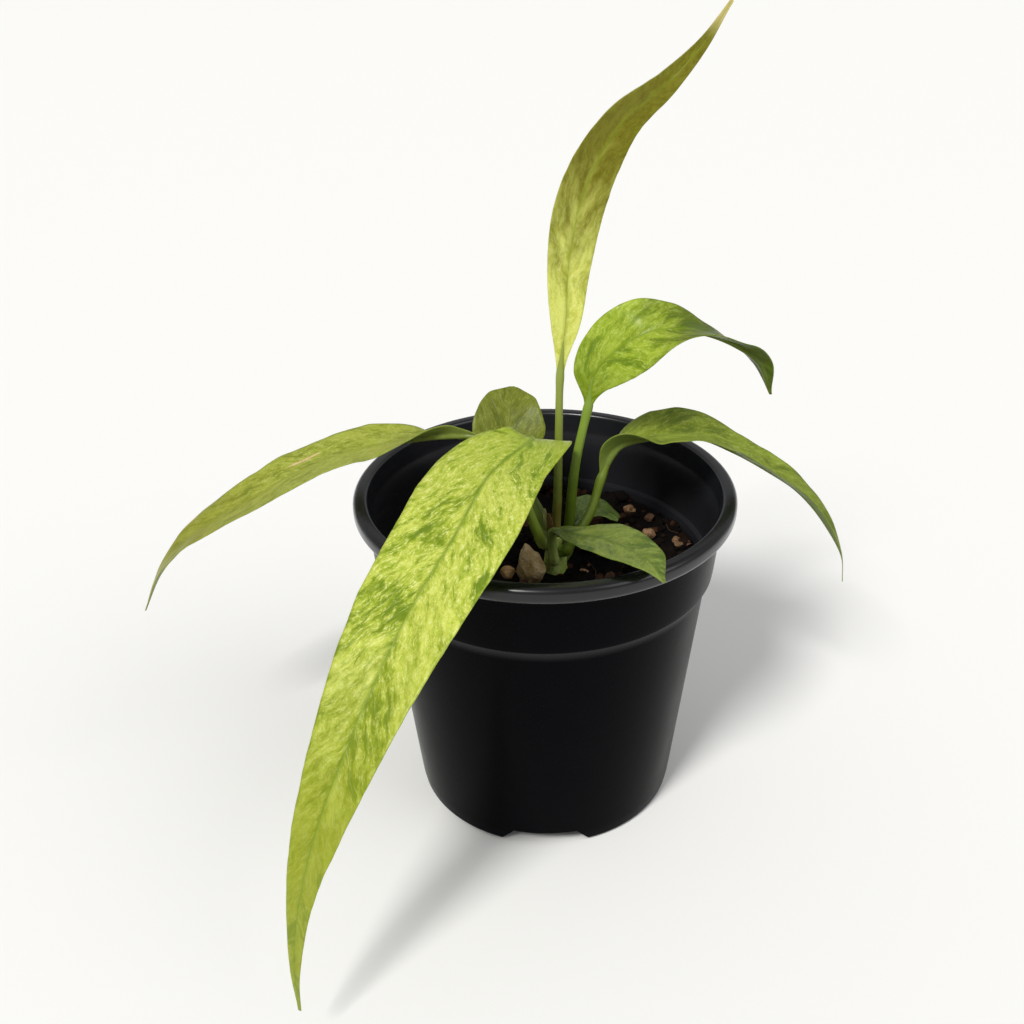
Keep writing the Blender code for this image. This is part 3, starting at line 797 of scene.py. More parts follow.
@dataclass(frozen=True)
class LeafSkin(Finish):
    """A variegated leaf blade."""

    pale: Rgb = (0.50, 0.56, 0.12)
    mid: Rgb = (0.22, 0.34, 0.05)
    deep: Rgb = (0.09, 0.19, 0.025)
    rib: Rgb = (0.16, 0.27, 0.04)
    vein: Rgb = (0.40, 0.48, 0.12)
    # the darker colour towards the tip: partly the leaf's own colour, partly painted shade where the
    # end turns away from the light
    tip: Rgb = (0.16, 0.20, 0.03)
    scar: Rgb = (0.55, 0.45, 0.24)
    under: Rgb = (0.16, 0.22, 0.05)
    blotch: float = 0.20
    fleck: float = 0.28
    depth: float = 0.85
    tip_amount: float = 0.0
    vein_amount: float = 0.12
    rib_amount: float = 0.8
    scars: float = 0.0
    base_amount: float = 0.0
    dry_tip: float = 0.0
    glint: float = 0.4
    tip_from: float = 0.35
    slant: float = 2.2
    seed: float = 0.0
    roughness: float = 0.36

    def wire(self, nodes: Nodes, shader: bpy.types.Node) -> None:
        """Wires the leaf pattern from the blade's own attributes."""
        spot = nodes.split(nodes.read("spot"))
        own = {part.name: getattr(self, part.name) for part in fields(self) if part.name != "name"}
        made = nodes.use(leaf_pattern(), flat=nodes.read("flat"), edge=spot["X"], reach=spot["Y"],
                         below=spot["Z"], **own)
        nodes.dress(shader, {
            "Base Color": made["Color"], "Roughness": made["Roughness"],
            "Normal": nodes.bump(made["Height"], 0.00012, 0.7), "Subsurface Weight": 0.15,
            "Subsurface Radius": (0.7, 1.0, 0.2), "Subsurface Scale": 0.0012,
            "Specular IOR Level": 0.22})


@dataclass(frozen=True)
class DrySheath(Finish):
    """A papery sheath with lengthwise fibres."""

    dark: Rgb = (0.16, 0.09, 0.03)
    light: Rgb = (0.42, 0.32, 0.10)

    def wire(self, nodes: Nodes, shader: bpy.types.Node) -> None:
        """Wires the fibres."""
        flat = nodes.split(nodes.read("flat"))
        at = nodes.vector(nodes.times(flat["X"], 5.0), nodes.times(flat["Y"], 0.35), 3.0)
        fibre = nodes.noise(at, 1.0, 3, 0.6)
        nodes.dress(shader, {
            "Base Color": nodes.mix(nodes.step(fibre, 0.3, 0.7), self.dark, self.light),
            "Normal": nodes.bump(fibre, 0.0002), "Roughness": 0.75})


@dataclass(frozen=True)
class PlainFloor(Finish):
    """The pale studio floor."""

    colour: Rgb = (0.90, 0.90, 0.89)

    def wire(self, nodes: Nodes, shader: bpy.types.Node) -> None:
        """Sets the floor's colour."""
        nodes.dress(shader, {"Base Color": self.colour, "Roughness": 0.9, "Specular IOR Level": 0.1})


# ---------------------------------------------------------------------------------------- plant

CROWN_X_MM, CROWN_Y_MM = 3.0, -5.5
RIM_TOP_MM = 96.5
MIX_TOP_MM = 73.5
CROWN_RADIUS_MM = 3.4
CROWN_RISE_MM = 11.0
PETIOLE_MM = 1.35
GAP_MM = 0.35
FOOT_SWELL, FOOT_REACH_MM = 0.32, 3.2  # where a petiole clasps the crown
KNEE_SWELL, KNEE_REACH_MM = 0.16, 2.6  # where it meets its blade
UNDER_BLADE = 0.13  # the share of a blade's length that its petiole runs on under


def over_rim(x: float, y: float, height: float) -> Vector:
    """Gives a guide point, laid out in millimetres from the pot's axis and the top of its rim."""
    return Vector((x, y, RIM_TOP_MM + height)) * MM


def by_crown(reach: float, turn: float) -> tuple[float, float]:
    """Gives x and y at a distance and an angle from the crown's axis, in millimetres."""
    x, y = polar(reach, turn)
    return CROWN_X_MM + x, CROWN_Y_MM + y


def crown_radius(z: float) -> float:
    """Gives the crown's radius at a height, both in millimetres."""
    return CROWN_RADIUS_MM * (1.0 - 0.42 * max(0.0, (z - MIX_TOP_MM) / CROWN_RISE_MM) ** 1.3)


@dataclass(frozen=True)
class Sections:
    """The sections of a thin blade along its midrib.

    Each section is (x, y, height over the rim, half width, roll), in millimetres and degrees. "side" is
    the azimuth of the blade's right-hand edge where it lies level, and "fold" how far its halves rise.
    """

    side: float
    fold: float
    rows: Sequence[tuple[float, float, float, float, float]]

    def points(self) -> list[Vector]:
        """Gives the guide points of the midrib."""
        return [over_rim(*row[:3]) for row in self.rows]

    def frame_at(self, path: Path, share: float) -> tuple[Vector, Vector, Vector, float]:
        """Reads the blade's own directions at a share of its length.

        Args:
            path: The midrib.
            share: 0 at the base and 1 at the tip.

        Returns:
            The midrib's point, the directions across and up, and the half width.
        """
        middle, forward, knot = path.at(share)
        azimuth = math.radians(self.side)
        across = Vector((math.cos(azimuth), math.sin(azimuth), 0))
        across = (across - forward * across.dot(forward)).normalized()
        up = across.cross(forward)
        roll = math.radians(between([row[4] for row in self.rows], knot))
        across, up = (across * math.cos(roll) + up * math.sin(roll),
                      up * math.cos(roll) - across * math.sin(roll))
        half = between([row[3] for row in self.rows], knot)
        return middle, across, up, half * MM


@dataclass(frozen=True)
class Blade:
    """How a blade is shaped over its sections: fineness, ribs and ripples, in millimetres."""

    sections: Sections
    skin: Finish
    slot: str = "leaf"
    rows: int = 170
    columns: int = 36
    thick: float = 0.5
    rib: float = 0.55
    groove: float = 0.42
    quilt: float = 0.22
    ripple: float = 0.12
    ripples: float = 4.0
    round_from: float = 1.0
    seed: float = 0.0

    def relief(self, across: float, along: float, edge: float, reach: float, width: float) -> float:
        """Gives how far the surface stands up at a place on the blade, in millimetres.

        Args:
            across: Signed distance from the midrib.
            along: Distance from the base.
            edge: 0 at the midrib and 1 at the margin.
            reach: 0 at the base and 1 at the tip.
            width: The half width there.
        """
        size = min(1.0, width / 5.0)
        seam = math.exp(-(across / (0.85 * max(size, 0.4))) ** 2)
        shift = 0.7 if across > 0 else 0
        vein = 0.5 + 0.5 * math.cos((along - abs(across) * VEIN_SLOPE) * 0.95 + shift)
        side = 7.0 if across > 0 else -7.0
        lumps = noise.noise(Vector((across * 0.16 + side, along * 0.13, self.seed)))
        wave = math.sin(self.ripples * math.tau * reach + side + 2.5 * lumps) * edge ** 2.5
        calm = smooth_step(0.0, 0.08, reach) * smooth_step(1.0, 0.9, reach)
        return (-self.groove * seam * size * (1 - 0.5 * reach)
                - self.quilt * 0.45 * vein ** 3 * (1 - seam) * (1 - edge) * size
                + self.quilt * 1.6 * lumps * (1 - seam) * size
                + self.ripple * wave * calm * size)

    def make(self, name: str, path: Path) -> bpy.types.Object:
        """Shapes a grid along the midrib, and thickens it most at the midrib.

        Args:
            name: The piece's name.
            path: The midrib.

        Returns:
            The closed blade, with its "flat" and "spot" attributes.
        """
        piece = Bench.start(bpy.ops.mesh.primitive_grid_add, x_subdivisions=self.columns,
                            y_subdivisions=self.rows, size=1)
        frames = [self.sections.frame_at(path, i / self.rows) for i in range(self.rows + 1)]
        fold = math.radians(self.sections.fold)
        flat, spot, tops, weights, places = [], [], [], [], []
        for vertex in piece.data.vertices:
            cross, reach = vertex.co.x * 2, min(max(vertex.co.y + 0.5, 0.0), 1.0)
            edge = abs(cross) ** 1.45
            middle, across, up, half = frames[round(reach * self.rows)]
            past = max(0.0, reach - self.round_from) / max(TINY, 1 - self.round_from)
            width = half / MM * math.sqrt(max(0.002, 1 - past ** 2))
            along = reach * path.length / MM
            nick = noise.noise(Vector((math.copysign(9, cross), along * 0.35, self.seed)))
            signed = math.copysign(edge, cross) * (width + 0.10 * nick * min(1.0, width / 4) * edge)
            lift = width * edge ** 1.3 * math.sin(fold) + self.relief(signed, along, edge, reach, width)
            places.append(middle + across * (signed * math.cos(fold) * MM) + up * (lift * MM))
            flat.append(Vector((signed, along, 0)))
            spot.append(Vector((edge, reach, 0)))
            tops.append(up)
            seam = math.exp(-(signed / 0.8) ** 2) * min(1.0, width / 3.0) * (1 - 0.6 * reach)
            body = self.thick * (1 - 0.55 * edge ** 3) * min(1.0, 0.35 + width / 2.5)
            weights.append((body + self.rib * 2 * seam) / (self.thick + self.rib * 2))
        piece.data.vertices.foreach_set("co", [c for place in places for c in place])
        for word, values in (("flat", flat), ("spot", spot), ("top", tops)):
            Bench.mark(piece, word, values)
        group = piece.vertex_groups.new(name="body")
        for index, weight in enumerate(weights):
            group.add([index], weight, "REPLACE")
        Bench.modify(piece, "SOLIDIFY", thickness=(self.thick + self.rib * 2) * MM, offset=0.0,
                     vertex_group="body", use_even_offset=False)
        self._mark_underside(piece)
        Bench.close(piece)
        return Bench.settle(piece, name)

    @staticmethod
    def _mark_underside(piece: bpy.types.Object) -> None:
        """Sets the third part of "spot" to 1 on the lower face of the blade."""
        mesh = piece.data
        mesh.update()
        half = len(mesh.vertices) // 2
        top, spot = mesh.attributes["top"].data, mesh.attributes["spot"].data
        ahead = sum((mesh.vertices[i + half].co - mesh.vertices[i].co).dot(top[i].vector)
                    for i in range(half))
        lower = range(half) if ahead > 0 else range(half, 2 * half)
        for index in lower:
            edge, reach, _ = spot[index].vector
            spot[index].vector = (edge, reach, 1.0)
        mesh.attributes.remove(mesh.attributes["top"])
        piece.vertex_groups.clear()


@dataclass(frozen=True)
class Leaf:
    """One leaf: its petiole, which leaves the crown at an azimuth and a rise, and its blade."""

    name: str
    azimuth: float
    rise: float
    guides: Sequence[Point]
    blade: Blade
    stalk: Stalk
    slim: float = 1.0

    def start(self) -> Vector:
        """Gives the point where the petiole leaves the crown."""
        z = MIX_TOP_MM + self.rise * CROWN_RISE_MM
        on_top = self.rise >= 1
        reach = 0.0 if on_top else crown_radius(z) + GAP_MM + PETIOLE_MM * 1.2
        x, y = by_crown(reach, math.radians(self.azimuth))
        return Vector((x, y, z + (GAP_MM * 2 if on_top else 0.0))) * MM

    def ways(self) -> tuple[Path, Path]:
        """Gives the path of the petiole and that of the midrib."""
        guides = [over_rim(*guide) for guide in self.guides]
        points = spline([self.start(), *guides, *self.blade.sections.points()])
        cut = SPAN_STEPS * (1 + len(self.guides))
        foot = Vector((CROWN_X_MM, CROWN_Y_MM, 0)) * MM
        root = points[0] + (foot + Vector((0, 0, points[0].z - 2.2 * MM)) - points[0]) * 0.75
        midrib = Path(points[cut:], SPAN_STEPS)
        count = sum(1 for length in midrib.lengths if length < UNDER_BLADE * midrib.length)
        return Path([root, *points[:cut + count]], SPAN_STEPS), midrib

    def make(self) -> list[bpy.types.Object]:
        """Makes the petiole and the blade, and dresses both."""
        stem, midrib = self.ways()
        merge = (stem.length - UNDER_BLADE * midrib.length) / stem.length

        def radius(share: float, turn: float) -> float:
            """The stalk: wide where it clasps the crown, waisted, then fading into the midrib."""
            foot = FOOT_SWELL * math.exp(-(share * stem.length / MM / FOOT_REACH_MM) ** 2)
            body = 1.16 - 0.32 * min(share / merge, 1.0) + foot
            knee = KNEE_SWELL * math.exp(
                -((share - merge * 0.97) * stem.length / MM / KNEE_REACH_MM) ** 2)
            fade = 1.0 if share < merge else 1.0 - 0.72 * (share - merge) / (1 - merge)
            groove = 0.10 * max(0.0, math.cos(turn)) ** 6 * smooth_step(0.1, 0.3, share)
            return PETIOLE_MM * self.slim * (body + knee) * fade * (1 - groove) * MM

        petiole = Bench.tube(f"{self.name}_stalk", stem, radius, rings=72, sides=20)
        put(petiole, "petiole", self.stalk, f"{self.name}_petiole")
        blade = put(self.blade.make(f"{self.name}_leaf", midrib), self.blade.slot, self.blade.skin,
                    f"{self.name}_blade")
        return [petiole, blade]


@dataclass(frozen=True)
class Sheath:
    """A papery sheath that stands clear of the tall petiole, at a bearing from the crown's axis."""

    name: str
    bearing: float
    side: float
    fold: float
    rows: Sequence[tuple[float, float, float, float]]
    finish: Finish

    def make(self) -> bpy.types.Object:
        """Makes the sheath."""
        rows = []
        for out, height, half, roll in self.rows:
            x, y = by_crown(PETIOLE_MM * 1.2 + GAP_MM + out, math.radians(self.bearing))
            rows.append((x, y, MIX_TOP_MM + CROWN_RISE_MM + height - RIM_TOP_MM, half, roll))
        rows.insert(0, (rows[0][0], rows[0][1], rows[0][2] - 1.5, rows[0][3], 0))
        sections = Sections(self.side, self.fold, rows)
        blade = Blade(sections, self.finish, "sheath", rows=40, columns=14, thick=0.35, rib=0.1,
                      groove=0.0, quilt=0.3, ripple=0.25, ripples=2.0)
        husk = blade.make(f"{self.name}_husk", Path(spline(sections.points()), SPAN_STEPS))
        return put(husk, blade.slot, self.finish, self.name)


@dataclass(frozen=True)
class Crown:
    """The short stem at the mix, ringed by the scars of old leaves."""

    finish: Finish
    sink: float = 8.0
    levels: int = 44
    scar: float = 0.10

    def make(self) -> bpy.types.Object:
        """Turns the stem and roughens it."""
        foot, top = MIX_TOP_MM - self.sink, MIX_TOP_MM + CROWN_RISE_MM
        profile = [(1.4, foot), (2.72, foot + 0.3)]
        for i in range(1, self.levels):
            z = foot + (top - foot) * i / self.levels
            scar = self.scar * math.sin((z - foot) * 2.1) ** 8
            profile.append((crown_radius(z) * smooth_step(foot - 4, foot + 6, z) + scar, z))
        profile += [(crown_radius(top) - 0.4, top - 0.1), (crown_radius(top) - 0.9, top)]
        piece = Bench.lathe("crown_stem", profile, 40, centre=(CROWN_X_MM, CROWN_Y_MM))
        axis = Vector((CROWN_X_MM, CROWN_Y_MM, 0)) * MM

        def roughen(place: Vector) -> Vector:
            """Swells the stem unevenly."""
            out = Vector((place.x - axis.x, place.y - axis.y, 0))
            swell = noise.noise(place * 330) * 0.05 + noise.noise(place * 900) * 0.012
            return place + out * swell

        Bench.reshape(piece, roughen)
        return put(piece, "crown", self.finish, "crown")


# ------------------------------------------------------------------------------------------ pot

@dataclass(frozen=True)
class Pot:
    """The round nursery pot, in millimetres."""

    finish: Finish
    rim: float = 52.5
    height: float = 96.5
    base: float = 37.8
    wall: float = 1.2
    rim_height: float = 4.6
    rim_corner: float = 1.6
    collar_depth: float = 22.5
    collar_inset: float = 3.0
    draft: float = 2.2
    step: float = 1.5
    fillet: float = 1.5
    notches: int = 4
    notch_width: float = 26.0
    notch_crown: float = 18.0
    notch_height: float = 5.0
    notch_depth: float = 11.0
    drain: float = 2.5
    sides: int = 144
    levels: Sequence[float] = (8.0, 20.0, 35.0, 50.0, 62.0, 70.0)

    @property
    def collar_foot(self) -> float:
        """Height of the step under the collar."""
        return self.height - self.collar_depth

    def collar(self, z: float) -> float:
        """Outside radius of the collar at a height."""
        return self.rim - self.collar_inset - self.draft * (self.height - z) / self.collar_depth

    def body(self, z: float) -> float:
        """Outside radius of the tapered body at a height."""
        top = self.collar(self.collar_foot) - self.step
        return self.base + (top - self.base) * z / self.collar_foot

    @staticmethod
    def corner(r: float, z: float, radius: float, start: float, end: float,
               points: int = 7) -> list[tuple[float, float]]:
        """Gives the points of a rounded corner round (r, z), from one angle to another."""
        turns = [math.radians(start + (end - start) * i / (points - 1)) for i in range(points)]
        return [(r + radius * math.cos(t), z + radius * math.sin(t)) for t in turns]

    def outside(self) -> list[tuple[float, float]]:
        """Gives the outline from the middle of the base to the middle of the top."""
        foot, under = self.collar_foot, self.height - self.rim_height
        outer = self.rim - self.rim_corner
        outline = [(12.0, 0.0), (28.0, 0.0)]
        outline += self.corner(self.body(0) - self.fillet, self.fillet, self.fillet, -90, 0)
        outline += [(self.body(z), z) for z in (3.5, 4.8, 5.4, *self.levels, 73.2)]
        outline += [(self.body(foot) + 0.05, foot - 0.25), (self.body(foot) + 0.3, foot)]
        outline += self.corner(self.collar(foot) - 0.5, foot + 0.5, 0.5, -90, 0, 5)
        outline += [(self.collar(z), z) for z in (foot + 2, foot + 6, foot + 12, foot + 16)]
        outline += [(self.collar(under) + 0.02, under - 0.5), (self.collar(under) + 0.3, under - 0.05)]
        outline += self.corner(outer, under + self.rim_corner, self.rim_corner, -90, 0)
        outline += self.corner(outer, self.height - self.rim_corner, self.rim_corner, 0, 90)
        return outline + [(48.0, self.height), (20.0, self.height)]

    def inside(self) -> list[tuple[float, float]]:
        """Gives the cavity's outline from the middle of its floor to a lid above the rim."""
        ledge, lip, wall = self.collar_foot + self.wall, 1.0, self.wall
        floor, reach = wall, self.body(wall + self.fillet) - wall
        outline = [(10.0, floor), (24.0, floor)]
        outline += self.corner(reach - self.fillet, floor + self.fillet, self.fillet, -90, 0)
        outline += [(self.body(z) - wall, z) for z in (*self.levels, ledge - 0.6)]
        low, high = self.body(ledge) - wall, self.collar(ledge) - wall
        outline += [(low + 0.12, ledge - 0.15), (low + 0.5, ledge)]
        outline += [(high - 0.35, ledge), (high - 0.08, ledge + 0.15), (high, ledge + 0.5)]
        outline += [(self.collar(z) - wall, z) for z in (ledge + 4, ledge + 9, 89.4)]
        outline += [(self.collar(89.8) - wall + 0.3, 89.8), (self.collar(91) - wall + 0.32, 91)]
        inner = self.collar(self.height) - wall + 0.2
        outline += self.corner(inner + lip, self.height - lip, lip, 180, 90)
        return outline + [(inner + lip, self.height + 2), (20.0, self.height + 2)]

    def blocks(self, name: str, grow: float) -> bpy.types.Object:
        """Makes the notches round the foot as one tool, with each face moved out by a distance."""
        slope = (self.notch_width - self.notch_crown) / 2 / self.notch_height
        spread = grow * math.hypot(1, slope)
        low, high = -1.0 - grow, self.notch_height + grow
        near, far = self.base - self.notch_depth - grow, self.rim
        made = []
        for i in range(self.notches):
            block = Bench.start(bpy.ops.mesh.primitive_cube_add, size=1)
            turn = math.radians(-90 + 360 * i / self.notches)

            def place(at: Vector) -> Vector:
                """Moves a corner of the cube to its corner of the notch."""
                z = high if at.z > 0 else low
                x, half = far if at.x > 0 else near, self.notch_width / 2 - slope * z + spread
                y = math.copysign(half, at.y)
                return Vector((x * math.cos(turn) - y * math.sin(turn),
                               x * math.sin(turn) + y * math.cos(turn), z)) * MM

            Bench.reshape(block, place)
            made.append(block)
        return Bench.join(made, name)

    def drains(self) -> bpy.types.Object:
        """Makes the drain holes as one tool."""
        made = []
        reach = self.base - self.wall - self.notch_depth / 2
        for i in range(self.notches):
            x, y = polar(reach, math.radians(-90 + 360 * i / self.notches))
            made.append(Bench.start(
                bpy.ops.mesh.primitive_cylinder_add, vertices=32, radius=self.drain * MM,
                depth=self.wall * 4 * MM,
                location=(x * MM, y * MM, (self.notch_height + self.wall / 2) * MM)))
        return Bench.join(made, "drains")

    def make(self) -> bpy.types.Object:
        """Turns the pot, hollows it and cuts its feet and drains."""
        pot = Bench.lathe("pot_shell", self.outside(), self.sides)
        cavity = Bench.lathe("pot_cavity", self.inside(), self.sides)
        Bench.cut(cavity, self.blocks("pot_shelves", self.wall))
        for tool in (cavity, self.blocks("pot_notches", 0.0), self.drains()):
            Bench.cut(pot, tool)
        Bench.close(pot)
        return put(Bench.settle(pot, "pot_shell", 38), "pot_plastic", self.finish, "nursery_pot")


# ------------------------------------------------------------------------------- mix and stones

@dataclass(frozen=True)
class Chip:
    """A kind of loose piece on the mix: how many, how large and how flat, in millimetres."""

    name: str
    count: int
    small: float
    large: float
    flat: float
    long: float
    tone: tuple[float, float]
    finish: Finish
    slot: str
    faces: int = 1
    inner: float = 6.5


@dataclass(frozen=True)
class Mix:
    """The potting mix: a bed and the loose pieces scattered on it."""

    finish: Finish
    kinds: Sequence[Chip]
    radius: float = 44.3
    rings: int = 46
    seed: int = 11
    patterns: int = 6

    def height(self, x: float, y: float) -> float:
        """Gives the height of the bed's surface at a place, in millimetres."""
        reach = math.hypot(x, y) / self.radius
        spot = Vector((x * 0.11, y * 0.11, 2.0))
        lumps = (1.5 * noise.noise(spot) + 0.8 * noise.noise(spot * 3.1)
                 + 0.35 * noise.noise(spot * 8.3))
        return MIX_TOP_MM + lumps * 0.9 - 0.9 * smooth_step(0.93, 1.0, reach)

    def bed(self) -> bpy.types.Object:
        """Turns the bed and lays out its surface."""
        pot = Pot(self.finish)
        gap = pot.wall + GAP_MM
        shelf = pot.notch_height + gap
        near = pot.base - pot.notch_depth - gap
        outline = [(8.0, gap), (near - 0.5, gap), (near, shelf), (33.0, shelf + 0.2)]
        outline += [(pot.body(z) - gap, z) for z in (9.5, 20.0, 35.0, 50.0, 62.0, 69.0, 71.6)]
        top = outline[-1][0]
        outline += [(top * (1 - i / self.rings), MIX_TOP_MM) for i in range(1, self.rings)]
        piece = Bench.lathe("mix_bed", outline, 120)

        def settle(place: Vector) -> Vector:
            """Gives the surface its lumps and leaves the sides alone."""
            if place.z < (MIX_TOP_MM - 0.5) * MM:
                return place
            return Vector((place.x, place.y, self.height(place.x / MM, place.y / MM) * MM))

        Bench.reshape(piece, settle)
        return put(piece, "potting_mix", self.finish, "potting_mix")

    def scatter(self, kind: Chip) -> bpy.types.Object:
        """Scatters one kind of chip as one joined piece.

        Args:
            kind: The chip.

        Returns:
            The joined chips, each with its own "tone".
        """
        rng = random.Random(f"{self.seed} {kind.name}")
        patterns = [self.pattern(kind, rng) for _ in range(self.patterns)]
        made = []
        for _ in range(kind.count):
            reach = math.sqrt(rng.uniform((kind.inner / self.radius) ** 2, 0.93)) * self.radius
            turn = rng.uniform(0, math.tau)
            size = kind.small + (kind.large - kind.small) * rng.random() ** 2
            # a long chip keeps its ends clear of the pot's wall
            reach = min(reach, self.radius - 0.75 * size * kind.long)
            x, y = polar(reach, turn)
            tilt = Quaternion((rng.uniform(-1, 1), rng.uniform(-1, 1), 0.01), rng.uniform(0, 0.7))
            turned = tilt @ Quaternion((0, 0, 1), rng.uniform(0, math.tau))
            z = self.height(x, y) + size * kind.flat * rng.uniform(0.1, 0.7)
            copy = rng.choice(patterns).copy()
            scale = Vector((size, size, size)) * MM
            copy.transform(Matrix.LocRotScale(Vector((x, y, z)) * MM, turned, scale))
            tone = copy.attributes.new("tone", "FLOAT", "POINT")
            tone.data.foreach_set("value", [rng.uniform(*kind.tone)] * len(copy.vertices))
            made.append(Bench.link(kind.name, copy))
        for pattern in patterns:
            bpy.data.meshes.remove(pattern)
        piece = Bench.join(made, kind.name)
        return put(Bench.settle(piece, kind.name, 30), kind.slot, kind.finish)

    @staticmethod
    def pattern(kind: Chip, rng: random.Random) -> bpy.types.Mesh:
        """Shapes one small chip from a cube, about a unit across, and gives its mesh."""
        chip = Bench.start(bpy.ops.mesh.primitive_cube_add, size=1)
        with Bench.editing(chip):
            bpy.ops.mesh.subdivide(number_cuts=kind.faces, smoothness=0.7)
        shift = Vector([rng.uniform(-9, 9) for _ in range(3)])

        def chisel(place: Vector) -> Vector:
            """Breaks up the chip's faces."""
            rough = 1 + 0.55 * noise.noise(place * 2.2 + shift)
            return Vector((place.x * kind.long, place.y, place.z * kind.flat)) * rough

        Bench.reshape(chip, chisel)
        mesh = chip.data.copy()
        bpy.data.objects.remove(chip, do_unlink=True)
        return mesh

    def make(self) -> list[bpy.types.Object]:
        """Makes the bed and all that lies on it."""
        return [self.bed(), *[self.scatter(kind) for kind in self.kinds]]


@dataclass(frozen=True)
class Fibres:
    """Thin coir fibres that lie on the mix, in millimetres."""

    finish: Finish
    mix: Mix
    count: int = 34
    radius: float = 0.13
    stride: float = 2.1
    steps: int = 4

    def thin(self, share: float, _: float) -> float:
        """Gives a fibre's radius at a share of its length: it thins towards its end."""
        return self.radius * (1 - 0.6 * share) * MM

    def make(self) -> bpy.types.Object:
        """Lays each fibre as a thin tube and joins them."""
        rng = random.Random("fibres")
        made = []
        for _ in range(self.count):
            reach = math.sqrt(rng.uniform(0.05, 0.88)) * self.mix.radius
            x, y = polar(reach, rng.uniform(0, math.tau))
            way = rng.uniform(0, math.tau)
            points = []
            for _ in range(self.steps + 1):
                if math.hypot(x, y) < self.mix.radius - 1:
                    points.append(Vector((x, y, self.mix.height(x, y) + rng.uniform(0.2, 0.9))) * MM)
                way += rng.uniform(-0.6, 0.6)
                x, y = x + self.stride * math.cos(way), y + self.stride * math.sin(way)
            if len(points) < 3:
                continue
            path = Path(spline(points, self.steps), self.steps)
            made.append(Bench.tube("fibre", path, self.thin, rings=10, sides=5))
        piece = Bench.join(made, "coir_fibres")
        return put(Bench.settle(piece, "coir_fibres"), "potting_mix", self.finish)


@dataclass(frozen=True)
class Stone:
    """A stone sunk a little into the mix: its place, half sizes and the share that shows."""

    name: str
    x: float
    y: float
    half: Point
    shown: float
    finish: Finish
    slot: str = "pumice"
    ridge: float = 0.0
    lean: float = 0.0
    broad: float = 0.84
    faces: int = 12

    def make(self) -> bpy.types.Object:
        """Shapes the stone from a sphere: broad faces first, then pits."""
        rng = random.Random(self.name)
        shift = Vector([rng.uniform(-9, 9) for _ in range(3)])
        planes = [Vector([rng.gauss(0, 1) for _ in range(3)]).normalized()
                  for _ in range(self.faces)]
        piece = Bench.start(bpy.ops.mesh.primitive_ico_sphere_add, subdivisions=5, radius=1)
        centre = Vector((self.x, self.y, MIX_TOP_MM + (2 * self.shown - 1) * self.half[2]))

        def weather(place: Vector) -> Vector:
            """Moves a point of the sphere to the stone's surface."""
            rough = 1 + 0.2 * noise.noise(place * 1.6 + shift)
            pits = (0.030 * noise.noise(place * 6 + shift)
                    + 0.012 * noise.noise(place * 15 + shift))
            point = place * (rough + pits)
            for plane in planes:
                over = point.dot(plane) - self.broad
                if over > 0:
                    point -= plane * over * 0.92
            high = max(0.0, point.z)
            point.z += self.ridge * high ** 3 - self.ridge * 0.4 * high
            point.x = point.x * (1 - self.ridge * 0.7 * high) + self.lean * high ** 2
            return (centre + Vector((point.x * self.half[0], point.y * self.half[1],
                                     point.z * self.half[2]))) * MM

        Bench.reshape(piece, weather)
        return put(Bench.settle(piece, f"{self.name}_stone"), self.slot, self.finish, self.name)


# --------------------------------------------------------------------------------------- studio

@dataclass(frozen=True)
class Lamp:
    """A soft light: the side it shines from, its softness in degrees, its strength and its colour."""

    name: str
    side: Point
    soft: float
    strength: float
    colour: Rgb = (1.0, 1.0, 1.0)

    def make(self) -> bpy.types.Object:
        """Hangs the lamp."""
        light = bpy.data.lights.new(self.name, "SUN")
        light.angle, light.energy, light.color = math.radians(self.soft), self.strength, self.colour
        lamp = Bench.link(self.name, light)
        lamp.location = self.side
        lamp.rotation_euler = (-Vector(self.side)).to_track_quat("-Z", "Y").to_euler()
        return lamp


@dataclass(frozen=True)
class Studio:
    """The pale floor, the soft lights and the camera."""

    lamps: Sequence[Lamp]
    floor: Finish = PlainFloor("pale_floor")
    floor_size: float = 12.0
    sky: float = 0.40
    eye: Point = (0.0, -0.2911, 0.2523)
    aim: Point = (-0.0090, 0.0, 0.0884)
    roll: float = -1.06
    lens: float = 42.2

    def lay_floor(self) -> bpy.types.Object:
        """Lays the floor that the pot stands on."""
        floor = Bench.start(bpy.ops.mesh.primitive_plane_add, size=self.floor_size)
        floor.name = "studio_floor"
        floor.data.materials.append(self.floor.material())
        return floor

    def light(self) -> None:
        """Sets the plain sky and hangs the lamps."""
        world = bpy.data.worlds.new("soft_sky")
        bpy.context.scene.world = world
        world.use_nodes = True
        sky = world.node_tree.nodes["Background"]
        sky.inputs["Color"].default_value = (1.0, 1.0, 1.0, 1.0)
        sky.inputs["Strength"].default_value = self.sky
        for lamp in self.lamps:
            lamp.make()
        bpy.context.scene.view_settings.view_transform = "Standard"

    def film(self) -> bpy.types.Object:
        """Places the camera, which looks down on the pot from a little above its front."""
        lens = bpy.data.cameras.new("camera")
        lens.lens, lens.sensor_width, lens.clip_start = self.lens, 36.0, 0.01
        camera = Bench.link("camera", lens)
        look = (Vector(self.aim) - Vector(self.eye)).to_track_quat("-Z", "Y")
        turn = look @ Quaternion((0, 0, 1), math.radians(self.roll))
        camera.matrix_world = Matrix.LocRotScale(Vector(self.eye), turn, None)
        bpy.context.scene.camera = camera
        return camera

    def make(self) -> None:
        """Sets the whole studio up."""
        self.lay_floor()
        self.light()
        self.film()


# ------------------------------------------------------------------------------------- the plant

class Names(Enum):
    """Names of the finishes that several pieces share."""

    PLASTIC = "black_plastic"
    SOIL = "potting_soil"
    BARK = "bark_chip"
    PUMICE = "pumice_stone"
    PEBBLE = "brown_pebble"
    GRIT = "pale_grit"
    CROWN = "crown_skin"
    ROOT = "root_skin"


